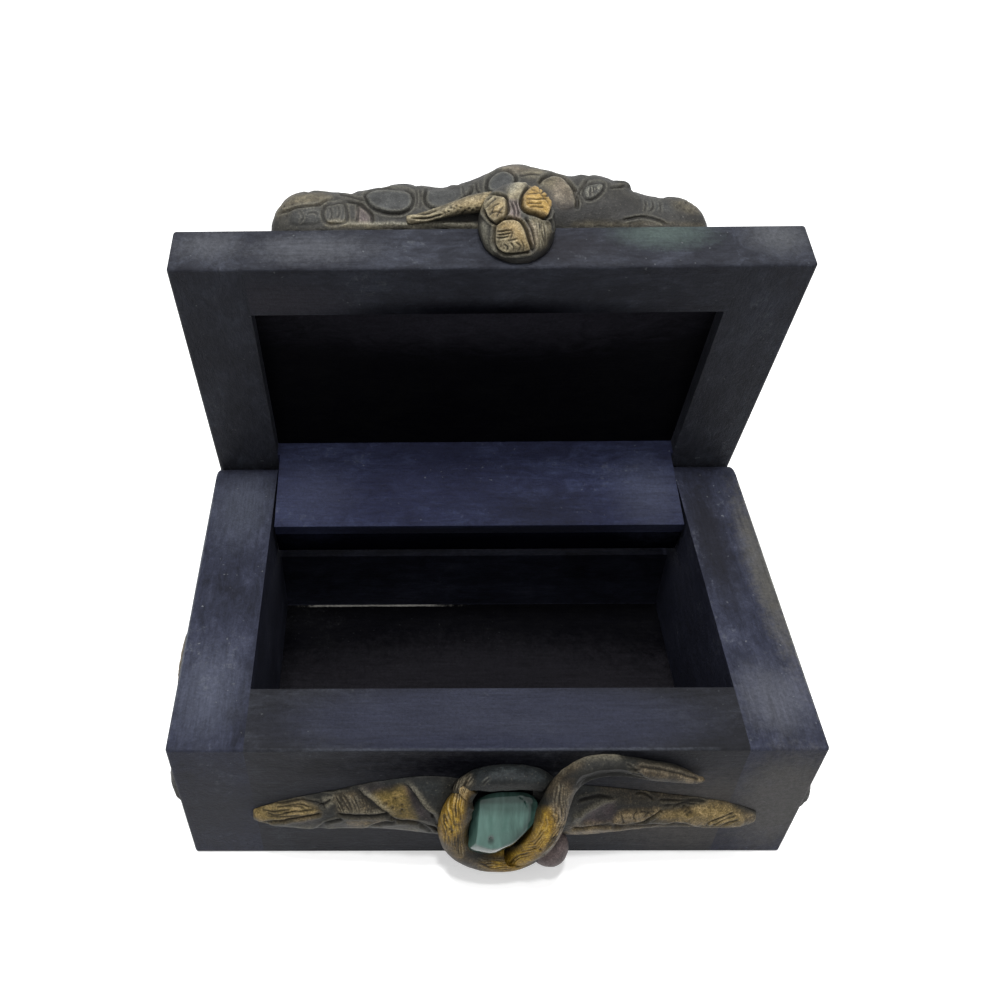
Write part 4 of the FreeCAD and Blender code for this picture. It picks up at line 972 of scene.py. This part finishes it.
bodyMarks = [
    ("groove", 0.42, 0.7, [(-60.6, 0.2), (-57.1, 1.5), (-53.7, 2.2), (-50.4, 2.4), (-49.1, 3.2),
     (-47.1, 3.9)]),
    ("cream", 0.8, 0.29, [(-61.5, -0.3), (-60.4, 2.5), (-57.9, 4.8), (-52.8, 5.5), (-47.5, 4.7),
     (-49.4, 2.9), (-55, 2.2), (-58.9, 0.7)]),
    *layers([(-57.3, 1), (-53.7, 1.7), (-50.3, 1.9), (-49.3, 0.9), (-49.2, -1.9), (-53.3, -2.6),
             (-57, -2.3)], ("dome", 0.9, 0.45), ("slate", 0.5, 0.3375)),
    *layers([(-48.8, 1.7), (-46.3, 2.6), (-43.4, 2.4), (-43.1, -1.9), (-48.2, -2.1)],
            ("dome", 0.9, 0.45), ("loop", 0.38, 0.36), ("slate", 0.5, 0.27)),
    ("dome", 0.8, 0.3, [(-42.9, 2.4), (-40.6, 2.3), (-40.3, -1.9), (-42.8, -1.9)]),
    ("groove", 0.35, 0.5, [(-40.3, 2.6), (-40, 0.3), (-40.3, -2.2)]),
    ("mauve", 0.5, 0.6, [(-40, 2.1), (-38.2, 1.3), (-36.7, -0.2), (-36.4, -2), (-40, -2.2)]),
    ("groove", 0.45, 0.8, [(-44, 3.4), (-42.2, 3.1), (-40.3, 2.8), (-39, 2.1), (-37.4, 0.8),
     (-36.4, -0.5), (-36.2, -2.2)]),
    *strokes("scratch", 0.3, 0.25,
             [(-55, 1), (-54.1, -0.6), (-54.6, -1.8)],
             [(-52.9, 0.2), (-51.3, 0.4), (-50.3, -0.1)],
             [(-47.3, 1.6), (-46.7, -0.1), (-47.2, -1.4)],
             [(-45.2, 1.9), (-44.7, 0.4), (-45.2, -1.1)]),
    *layers([(-38.1, 5.1), (-38, 3.6), (-36.7, 1.8), (-34.6, 0.8), (-31.8, 0), (-28.7, 0.2),
             (-26.7, 1.2), (-25.9, 2.7), (-25.9, 4.5), (-27.4, 5.8), (-31.3, 6.3), (-35.5, 6.1)],
            ("dome", 1.2, 0.55), ("loop", 0.45, 0.85), ("slate", 0.6, 0.675)),
    *strokes("scratch", 0.3, 0.35,
             [(-25.1, 5.7), (-24.8, 3.7), (-25.1, 1.9)],
             [(-24, 5.7), (-23.8, 3.7), (-24.1, 1.4)]),
    ("groove", 0.35, 0.4, [(-45, 5.2), (-42.2, 4.4), (-40.1, 3.8), (-38.5, 3.3)]),
    *layers([(-22.2, 5.5), (-18.8, 5.9), (-14.7, 6.1), (-11.5, 6.4), (-12.7, 4.8), (-15.9, 2.6),
             (-19, 1.6), (-21.5, 2.2)], ("dome", 1.2, 0.5), ("slate", 0.6, 0.6)),
    ("groove", 0.45, 0.85, [(-22.4, 6), (-23, 3.9), (-22.3, 2.2), (-20.5, 1.1), (-18, 1.1),
     (-15.6, 1.8), (-13.3, 3.3), (-11.1, 5.1), (-10.5, 6.4)]),
    ("groove", 0.35, 0.45, [(-12.8, 6.6), (-12.7, 5.1), (-11.4, 4.1)]),
    ("groove", 0.35, 0.4, [(-9.4, 7.6), (-9.3, 6.1), (-8.6, 5.1)]),
    *layers([(-6.5, 5.5), (-6.6, 7.8), (-4.9, 9.7), (-2.7, 10.7), (-1, 10.6), (0.4, 9.6), (0.7, 7.7),
             (-0.2, 6.2), (-2, 5), (-4.3, 4.5)],
            ("dome", 1.3, 0.6), ("loop", 0.5, 0.95), ("slate", 0.6, 0.75)),
    ("cream", 0.8, 0.32, [(-2.6, 11.6), (1.3, 12.3), (4.9, 11.4), (8.9, 10.6), (5.8, 9.2), (1.2, 10.1)]),
    ("mauve", 0.8, 0.35, [(-1.5, 11.5), (1.1, 12), (4.4, 11.4), (2, 10.3), (0, 10.6)]),
    ("groove", 0.35, 0.3, [(1.9, 9.3), (4.5, 9.8), (7.2, 9.5)]),
    ("dome", 1.4, 0.6, [(7.1, 7.2), (7.9, 8.7), (10.2, 9.2), (12.4, 9), (13.9, 7.6), (15.2, 5.8),
     (15.9, 3.3), (15.5, 1), (12.2, 0.6), (10.7, 1.8), (9.8, 4.4)]),
    ("groove", 0.5, 0.95, [(6.6, 7.2), (7.9, 8.7), (10.3, 9.5), (12.7, 9), (14.2, 7.6), (15.4, 5.8),
     (16.2, 3.3), (16, 1)]),
    ("cream", 0.8, 0.36, [(7.1, 7.2), (7.9, 8.7), (10.2, 9.2), (12.4, 9), (13.9, 7.6), (15.2, 5.8),
     (15.9, 3.3), (15.6, 2), (12.2, 1.6), (10.7, 2.3), (9.8, 4.4)]),
    ("mauve", 0.8, 0.45, [(9.9, 5.6), (12.4, 8.2), (14.2, 6.6), (15.5, 4.1), (15.3, 1.5), (12.2, 1.1),
     (10.7, 2.3)]),
    *strokes("groove", 0.4, 0.6,
             [(12.7, 9), (14.9, 7.1), (16.6, 4.8), (17.7, 2.5)],
             [(19.5, 8.1), (17.8, 6.3), (16.6, 4.8)]),
    *layers([(18, 3.8), (18.3, 6.1), (20, 7.1), (22.9, 7.3), (23.5, 6), (21.6, 4), (19.5, 3)],
            ("dome", 0.9, 0.4), ("loop", 0.38, 0.55), ("slate", 0.5, 0.5625)),
    ("comb", 0.9, 0.22, [(18.3, 3.8), (18.5, 6.1), (19.9, 6.8), (22.6, 7), (23.2, 6), (21.4, 4.2),
     (19.5, 3.3)], [(18, 7.3), (17.7, 3.5)]),
    ("dome", 1.2, 0.5, [(22.5, 6.5), (23.8, 8.1), (25.7, 7.8), (25.8, 6.5), (23.9, 5.5)]),
    ("groove", 0.35, 0.6, [(25.4, 6), (27.1, 6.2), (29.6, 6.5)]),
    ("dark", 1.4, 0.85, [(11.7, 0.6), (15.6, 2), (22, 3), (28.8, 3.9), (32.5, 1.4), (32.2, -2.6),
     (11.7, -2.4)]),
    ("slate", 0.8, 0.6, [(33.3, 2.9), (37, 2.8), (41.1, 2), (42.8, 0.8), (39.5, -0.2), (34.5, 0.6)]),
    *strokes("scratch", 0.3, 0.3,
             [(34.1, 2.6), (34, 1.1), (33.6, 0.1)],
             [(36.1, 2.6), (35.9, 1.1), (35.2, 0.1)],
             [(38.1, 2.3), (37.9, 0.8), (37.5, -0.2)]),
    ("cream", 0.8, 0.19, [(41, 1.8), (43.6, 2.8), (47.2, 2.5), (48.6, 0.7), (48.3, -0.6), (44.7, -0.5),
     (41.7, 0.3)]),
    ("pit", 0.35, 0.3, [(43, 1.5), (44.9, 2), (46.3, 1.2), (43.8, 0.5), (47.3, 0.4), (42.1, 1),
     (45.4, 0), (-59.4, 2.2), (-58.1, 1), (-60.1, 1.2), (-58.6, -0.3), (-57.2, 2.7)]),
    ("dark", 1, 0.8, [(32.8, -0.4), (39.5, -0.7), (48, -1.6), (49.8, -3.4), (38.5, -3.2), (32.2, -2.4)]),
    ("groove", 0.4, 0.5, [(28.1, -2.1), (32.2, -1.4), (36, -1.9), (38.8, -3.5)]),
    ("dark", 0.8, 0.7, [(-35.4, -0.7), (-21.6, -0.1), (-17.7, -1.1), (-8.8, -0.2), (-8.3, -2.2),
     (-21.6, -2.9), (-35.4, -3)]),
    ("cream", 0.5, 0.44, [(-47.2, -1.6), (-42.1, -1.7), (-36.4, -2.2), (-29.2, -2), (-19, -2.1),
     (-9.3, -2.5), (-9.3, -3.2), (-19, -3.1), (-29.3, -3), (-36.4, -3.2), (-47.2, -2.9)]),
    ("ridge", 0.5, 0.35, [(-46.4, -2.1), (-41.6, -2.4), (-35.9, -2.5), (-29.3, -2.5), (-19, -2.6),
     (-9.6, -3)]),
    ("cream", 0.5, 0.32, [(15.5, -2.5), (21.9, -2.3), (29.6, -2.6), (37.3, -2.4), (47.8, -3.3),
     (47.7, -3.8), (37.2, -3.4), (29.6, -3.6), (22, -3.3), (15.5, -3.5)]),
    ("dark", 1.2, 0.6, [(-8.9, 7.6), (-8.1, 4.5), (-7.7, 2), (-11.2, 3.3), (-13.2, 4.1), (-11.1, 6.1)]),
    ("dark", 1.2, 0.5, [(10.7, 3.1), (18.2, 2.5), (19.9, -1.8), (11.2, -1.7)]),
]
armMarks = [
    ("cream", 0.8, 0.75, [(-24.7, -1.3), (-21.6, -0.1), (-17.9, 1.2), (-11.6, 3.6), (-5.8, 5),
     (-5.2, 2), (-11.6, 1.1), (-17.9, -0.3), (-22.9, -1.8)]),
    ("gold", 1, 0.25, [(-15.4, 1.9), (-11.6, 3.3), (-6.3, 4.3), (-7.3, 2.5), (-12.1, 1.8)]),
    ("groove", 0.32, 0.6, [(-26.4, -1), (-24.2, -1.3), (-21.6, -1.1), (-18.9, -0.3)]),
    ("groove", 0.3, 0.5, [(-25.9, 0.2), (-23.1, -0.1), (-20.1, 0.7)]),
    ("pit", 0.28, 0.3, [(-15.6, 1.1), (-14.6, 0.4), (-13.9, 1.4), (-12.8, 0.6), (-11.8, 1.1),
     (-10.8, 0.6), (-15.1, 1.9), (-16.9, 0.4), (-16.4, 1.4), (-9.8, 1.1), (-13.3, 0.1), (-17.9, 0.2)]),
    ("dark", 0.6, 0.7, [(-19.1, -1.3), (-15.3, -0.6), (-8.9, -0.2), (-7.9, -1.7), (-14, -1.6)]),
    ("cream", 1.2, 0.95, [(-27.2, 0), (-23.1, 0.7), (-17.9, 1.4), (-12.1, 3.8), (-5.4, 5.5),
     (-4.7, 1.8), (-11.6, 0.6), (-17.8, -0.8), (-22.9, -2.1), (-27, -1.8)]),
]
headMarks = [
    *layers([(-8.1, 4), (-8.7, 2.6), (-8.6, 0.9), (-8, -0.6), (-7, -1.8), (-5.6, -2.5), (-4.5, -1.7),
             (-3.2, 0.2), (-2.9, 2.3), (-3.4, 4), (-5.6, 4.5)],
            ("cream", 0.6, 0.75), ("dome", 1.3, 0.75), ("loop", 0.42, 1)),
    ("gold", 0.8, 0.3, [(-5.9, 2.1), (-3.8, 2.5), (-3.7, 0.2), (-5.1, -1.3), (-6.7, 0.4)]),
    ("scratch", 0.25, 0.35, [(-7.9, 1.1), (-6.5, 2.5), (-5.3, 3.5)]),
    *strokes("scratch", 0.25, 0.3,
             [(-6.6, 0.9), (-5.7, 1.6), (-4.7, 2.1)],
             [(-6.5, -0.1), (-5.3, 0.2), (-4.2, -0.1)],
             [(-7.3, 3), (-6.6, 3.5), (-5.9, 3.8)],
             [(-5.4, -1), (-4.9, 0.2), (-4.1, 1.3)],
             [(-7.2, -0.6), (-6.4, 0.2), (-5.9, 1.1)]),
    ("mauve", 0.4, 0.95, [(-2.6, 3.2), (-0.9, 3.2), (-0.1, 1.5), (-0.5, -1.3), (-1.9, -1.3), (-3, 0.6)]),
    *strokes("scratch", 0.28, 0.5,
             [(-2.1, 2.8), (-1.5, 1.1), (-1.6, -0.8)],
             [(-1.1, 3), (-0.6, 1.3), (-0.7, -0.6)]),
    *layers([(0.3, 2.5), (0.7, 4.4), (2.3, 6.1), (4.3, 6.8), (6, 6.8), (8.1, 6.1), (9.2, 4.6),
             (8.9, 2.6), (8, 0.5), (6.4, -1.2), (4, -0.4), (1.8, 0.1), (0.6, 1.1)],
            ("dome", 1.3, 0.85), ("loop", 0.5, 1.1)),
    ("gold", 0.6, 0.85, [(0.8, 2.7), (1.2, 4.2), (2.7, 5.6), (4.6, 6.4), (5.9, 6.3), (7.6, 5.6),
     (8.5, 4.3), (8.4, 2.6), (7.4, 0.7), (6.1, -0.7), (4.1, 0.1), (2.1, 0.6), (1.2, 1.5)]),
    *strokes("scratch", 0.25, 0.35,
             [(1.7, 4.4), (3, 4.4), (4.3, 4.1)],
             [(1.6, 3.2), (4.1, 2.9), (6.6, 2.9)],
             [(1.7, 2.2), (3.2, 2), (5.3, 2)]),
    ("scratch", 0.25, 0.3, [(2.1, 1.1), (3.6, 1.3), (5.5, 1)]),
    *strokes("scratch", 0.25, 0.4,
             [(4.8, 4.1), (3.9, 4.9), (3.2, 5.4)],
             [(4.8, 4.1), (5.1, 5.1), (5.2, 6.1)],
             [(4.8, 4.1), (6.3, 4.9), (6.8, 5.6)],
             [(4.8, 4.1), (6.2, 3.6), (8, 3.9)]),
    ("scratch", 0.25, 0.35, [(4.8, 4.1), (5.8, 3.2), (7.1, 2.2)]),
    ("ridge", 1, 0.5, [(-2.5, 4.2), (-1.3, 5.9), (1.2, 7.4), (3.8, 7.8), (6.4, 7.3)]),
    ("cream", 0.6, 0.6, [(-2.7, 3.7), (-1.5, 6.1), (1.1, 7.6), (4.3, 8.1), (6.4, 7.3), (3.3, 7.1),
     (1.1, 5.6), (-0.1, 3.5)]),
    *layers([(-5.9, -2.9), (-4.9, -1.7), (-3.3, -1.3), (-1.4, -1.3), (0, -2), (1.2, -3.9), (1.9, -6.3),
             (2.5, -8.7), (0.3, -9.4), (-3, -9.6), (-4.9, -8.9), (-6.1, -7.3), (-6.3, -5.1)],
            ("dome", 1.4, 0.75), ("loop", 0.45, 1), ("cream", 0.6, 0.8)),
    ("gold", 1.2, 0.4, [(-4.9, -2.4), (-1.4, -1.7), (0.7, -4.4), (1.7, -8.2), (-1.5, -6.2),
     (-4.5, -3.9)]),
    *strokes("scratch", 0.25, 0.4,
             [(-5.4, -4.4), (-3.8, -4.3), (-2.4, -4.1)],
             [(-5.2, -5.1), (-3.8, -5.1), (-2.4, -4.8)],
             [(-5.4, -5.8), (-4, -5.8), (-2.9, -5.5)]),
    ("scratch", 0.25, 0.3, [(-2.4, -4.1), (-2.2, -5), (-2.4, -6)]),
    *strokes("scratch", 0.25, 0.35,
             [(-3.8, -7.2), (-3.1, -7.7), (-3.3, -8.7)],
             [(-2.4, -6.7), (-1.7, -7.7), (-1.9, -8.7)],
             [(-1, -6.7), (-0.2, -7.7), (-0.7, -8.7)],
             [(-2.9, -6.5), (-1.9, -6.2), (-1, -6)]),
    ("scratch", 0.25, 0.3, [(0, -6.2), (0.5, -7.5), (0.5, -8.7)]),
    ("cream", 0.6, 0.55, [(2.5, -1.3), (6.6, -2.1), (7.4, -4.5), (6.2, -7.9), (3.8, -8.5), (2.1, -5.1)]),
    ("groove", 0.38, 0.8, [(1.2, -1.3), (2.4, -3.2), (3.2, -5.8), (3.5, -8), (2.6, -9.4)]),
    ("mauve", 0.5, 0.9, [(1.9, -2.5), (3.7, -3), (4.2, -6.3), (3.5, -8.2), (2.2, -5.8)]),
    ("comb", 0.7, 0.25, [(3.2, -1.3), (6.6, -2.1), (7.4, -4.5), (6.2, -7.9), (4.3, -8.5), (3.9, -5.1)],
     [(1.5, -1.5), (2.1, -5.1), (2.3, -8.7)]),
    ("groove", 0.35, 0.6, [(6.4, -1.2), (7.8, -2.2), (8.4, -4.1)]),
    ("ridge", 0.8, 0.3, [(-8.7, -2), (-8.3, -5.2), (-7.4, -7.8), (-5.4, -10)]),
    ("dark", 1.2, 0.9, [(-7.9, -8.9), (-5.2, -10.2), (-1.2, -10.9), (2.4, -10.4), (6.2, -8.4),
     (9.6, -4.7), (10.5, -11.4), (4, -16), (-2.4, -15.9), (-7.6, -12.8)]),
    ("dark", 0.8, 0.6, [(9.9, 4.1), (11.2, 1.8), (10.3, -3.7), (8.4, -8.3), (6.8, -8.4), (8.4, -4.1),
     (9.3, 0.2)]),
    ("dark", 1.3, 0.55, [(-8.9, -5.5), (-7.5, -8.3), (-5.2, -10.5), (-1.6, -11.4), (2.5, -11.2),
     (5.7, -9.1), (8.1, -5.5), (12, -9.4), (7.8, -15.7), (-5, -15.6), (-9.9, -10.5)]),
]
leftLeafMarks = [
    ("groove", 0.6, 0.7, [(-24, 6), (-10, 3), (4, 0), (14, -2), (20, -3)]),
    ("groove", 0.45, 0.5, [(-12, 3.5), (-6, 7), (0, 9)]),
    ("groove", 0.45, 0.5, [(-2, 1.5), (4, 5), (9, 7)]),
    ("groove", 0.45, 0.5, [(-14, 4), (-8, 0), (-4, -4)]),
    ("groove", 0.45, 0.5, [(-4, 1.5), (2, -3), (7, -8)]),
    ("groove", 0.45, 0.5, [(7, -0.5), (12, -5), (15, -9)]),
    ("cream", 1.5, 0.7, [(-26, 6), (-14, 9), (0, 9), (12, 7), (6, 3), (-10, 4)]),
    ("gold", 1.2, 0.5, [(-8, 1), (2, -1), (10, -3), (4, -6), (-4, -4)]),
    ("mauve", 1.2, 0.5, [(12, 4), (20, 0), (20, -4), (12, -2)]),
]
rightLeafMarks = [(kind, size, depth, [(-x, y) for x, y in points])
                  for kind, size, depth, points in leftLeafMarks]
# On the stone, the dark patches are painted shade at its edges and in the pit, and the cream patch is
# painted light on its flat facet; the grooves are veins.
stoneMarks = [
    ("dark", 0.8, 0.5, [(-7.1, 5.8), (-3.5, 6.2), (-5.9, 3.6), (-6.9, 0.4), (-7.5, -2.4),
     (-8.5, -4.8), (-10, -6.6), (-9.3, 0.4)]),
    ("cream", 1.2, 0.56, [(-3.3, 6.2), (0.7, 6.6), (0.5, 1.5), (-0.8, -4.2), (-3, -6.8), (-7.3, -6.7),
     (-7.8, -4.8), (-6.6, -1.5), (-6, 2.2)]),
    ("dark", 0.7, 0.9, [(4.8, 7.1), (7, 5.9), (8.7, 3.6), (8.3, 0.8), (6.2, -2.4), (3.1, -5.4),
     (-0.3, -7.4), (2.9, -4.4), (5.5, -1.4), (6.8, 1.8), (6.1, 4.3)]),
    ("groove", 0.8, 0.05, [(-3, 1.3), (-2.8, -1.4), (-3, -4.2)]),
    ("groove", 0.9, 0.05, [(1.3, 4.3), (1, 0.4), (0.1, -3.7)]),
    ("pit", 0.6, 0.6, [(-2.9, -4.9)]),
    ("pit", 0.35, 0.25, [(6.1, 4.3), (5, 5.7)]),
    ("groove", 0.4, 0.12, [(4, 6.1), (5.7, 5), (6.6, 2.9)]),
    ("dark", 0.25, 1, [(-3.6, -4.4), (-3, -4), (-2.3, -4.4), (-2.3, -5.3), (-2.9, -5.7), (-3.6, -5.3)]),
]
stoneOutline = [
    (-6.2, 5.9), (-2.7, 6.9), (1.3, 7.1), (5.3, 7), (7.6, 6.2), (9, 4.5), (9.1, 2.5), (8.3, 0),
    (6.3, -2.5), (3.8, -4.9), (0.8, -6.7), (-2.7, -7.8), (-6.8, -7.2), (-8.4, -6.2), (-8.4, -3.9),
    (-8.2, -0.8), (-7.4, 2.7), (-7, 4.6),
]

# flats on the stone: the way each one looks, and how far below the stone's highest point it lies
stoneFlats = [((0.0, -0.38, 0.925), 5.0), ((0.0, -0.72, 0.69), 3.4), ((-0.9, -0.25, 0.35), 0.5)]

# piece, CAD nodes it stands for, body, material, sheet, marks, mesh size in millimetres, and more
sculpt("creature_body", ["creature_tail", "creature_shoulder", "creature_flank"], "lid", lidClay,
       "lid", bodyMarks, 0.36, plates=8.0)
sculpt("creature_neck_and_head", ["creature_head"], "lid", lidClay, "lid", headMarks, 0.2,
       lumps=0.08, rounds=6)
sculpt("creature_foreleg", ["creature_arm"], "lid", lidClay, "lid", armMarks, 0.2, lumps=0.15)
sculpt("clay_ledge", ["clay_bed"], "lid", lidClay, "lid", [], 0.4, lumps=0.5)
sculpt("wing_left", ["front_wing_left"], "base", frontClay, "front", leftWingMarks, 0.25)
sculpt("wing_right", ["front_wing_right"], "base", frontClay, "front", rightWingMarks, 0.25)
sculpt("curled_horn", ["front_horn"], "base", gildedClay, "front", hornMarks, 0.2,
       lumps=0.08)
sculpt("ring_round_stone", ["stone_coil"], "base", gildedClay, "front", coilMarks, 0.2,
       lumps=0.08)
sculpt("hood_over_stone", ["stone_hood"], "base", frontClay, "front", hoodMarks, 0.25, lumps=0.15)
sculpt("round_bulb", ["front_bulb"], "base", bulbClay, "front", bulbMarks, 0.3, lumps=0.1)
sculpt("leaf_left", ["side_leaf_left"], "base", frontClay, "left", leftLeafMarks, 0.3, lumps=0.2)
sculpt("leaf_right", ["side_leaf_right"], "base", frontClay, "right", rightLeafMarks, 0.3,
       lumps=0.2)
sculpt("set_stone", ["turquoise_stone"], "base", stone, "front", stoneMarks, 0.25,
       lumps=0.0, rounds=3, outline=stoneOutline, flats=stoneFlats)
print("clay and stone done")

# floor, world and lamps

studio = {
    "floorSize": 3.0,           # metres
    "floorDrop": 0.0002,        # metres from the box down to the floor
    "floorRough": 0.9,
    "floorSeen": "#e6e6e6",     # what the camera sees
    "floorReal": "#707070",     # what lights the object from below
    "floorGlow": 0.4,
    "sky": ((0.4, 0.12), (0.65, 0.4), (0.9, 0.95)),     # height and brightness of the soft sky
    "lamps": [(-0.12, -0.10, 1.0), (0.08, -0.04, 1.02), (-0.02, -0.22, 0.98)],      # metres
    "lampPower": 3.4,           # watts
    "lampSize": 0.07,           # metres
    "aim": (0.0, 0.0, 0.06),    # the point that the lamps look at, in metres
}


def layFloor(place):
    sheet = bmesh.new()
    bmesh.ops.create_grid(sheet, x_segments=2, y_segments=2, size=place["floorSize"] / 2)
    bmesh.ops.translate(sheet, verts=sheet.verts, vec=(0, 0, -place["floorDrop"]))
    mesh = bpy.data.meshes.new("floor")
    sheet.to_mesh(mesh)
    sheet.free()
    floor = bpy.data.objects.new("floor", mesh)
    bpy.context.collection.objects.link(floor)
    material, tree, shader, _ = newMaterial("white paper sweep")
    shader.inputs["Roughness"].default_value = place["floorRough"]
    seen = seenRays(tree)
    tree.links.new(layOver(tree, seen, place["floorReal"], place["floorSeen"]), shader.inputs["Base Color"])
    glow = addNode(tree, "ShaderNodeEmission", None,
                   {"Strength": calc(tree, "MULTIPLY", seen, place["floorGlow"])})
    both = addNode(tree, "ShaderNodeAddShader", None,
                   {0: shader.outputs["BSDF"], 1: glow.outputs["Emission"]})
    tree.links.new(both.outputs["Shader"], tree.nodes["Material Output"].inputs["Surface"])
    mesh.materials.append(material)


def seenRays(tree):
    # 1 for the rays that show floor or sky to the eye, straight on or mirrored, and 0 for those that light
    path = addNode(tree, "ShaderNodeLightPath")
    straight = calc(tree, "MAXIMUM", path.outputs["Is Camera Ray"], path.outputs["Is Glossy Ray"])
    return calc(tree, "MAXIMUM", straight, path.outputs["Is Transmission Ray"])


def lightStudio(place):
    # white all round for the eye, a soft sky for the light, and three lamps overhead
    world = bpy.data.worlds.new("studio")
    bpy.context.scene.world = world
    world.use_nodes = True
    tree = world.node_tree
    tree.nodes.clear()
    way = addNode(tree, "ShaderNodeTexCoord").outputs["Generated"]
    height = addNode(tree, "ShaderNodeSeparateXYZ", None, {0: way}).outputs["Z"]
    raised = calc(tree, "ADD", calc(tree, "MULTIPLY", height, 0.5), 0.5)
    sky = rampOf(tree, raised, place["sky"])
    soft = addNode(tree, "ShaderNodeBackground", None, {"Color": sky})
    white = addNode(tree, "ShaderNodeBackground", {"Color": (1, 1, 1, 1), "Strength": 1.0})
    seen = seenRays(tree)
    mix = addNode(tree, "ShaderNodeMixShader", None,
                  {0: seen, 1: soft.outputs["Background"], 2: white.outputs["Background"]})
    addNode(tree, "ShaderNodeOutputWorld", None, {"Surface": mix.outputs["Shader"]})
    for i, stand in enumerate(place["lamps"]):
        data = bpy.data.lights.new("ring lamp %d" % i, "AREA")
        data.shape = "DISK"
        data.size = place["lampSize"]
        data.energy = place["lampPower"]
        lamp = bpy.data.objects.new("ring lamp %d" % i, data)
        bpy.context.collection.objects.link(lamp)
        turn = (Vector(place["aim"]) - Vector(stand)).to_track_quat("-Z", "Y")
        lamp.matrix_world = Matrix.Translation(stand) @ turn.to_matrix().to_4x4()


layFloor(studio)
lightStudio(studio)
print("studio lit")
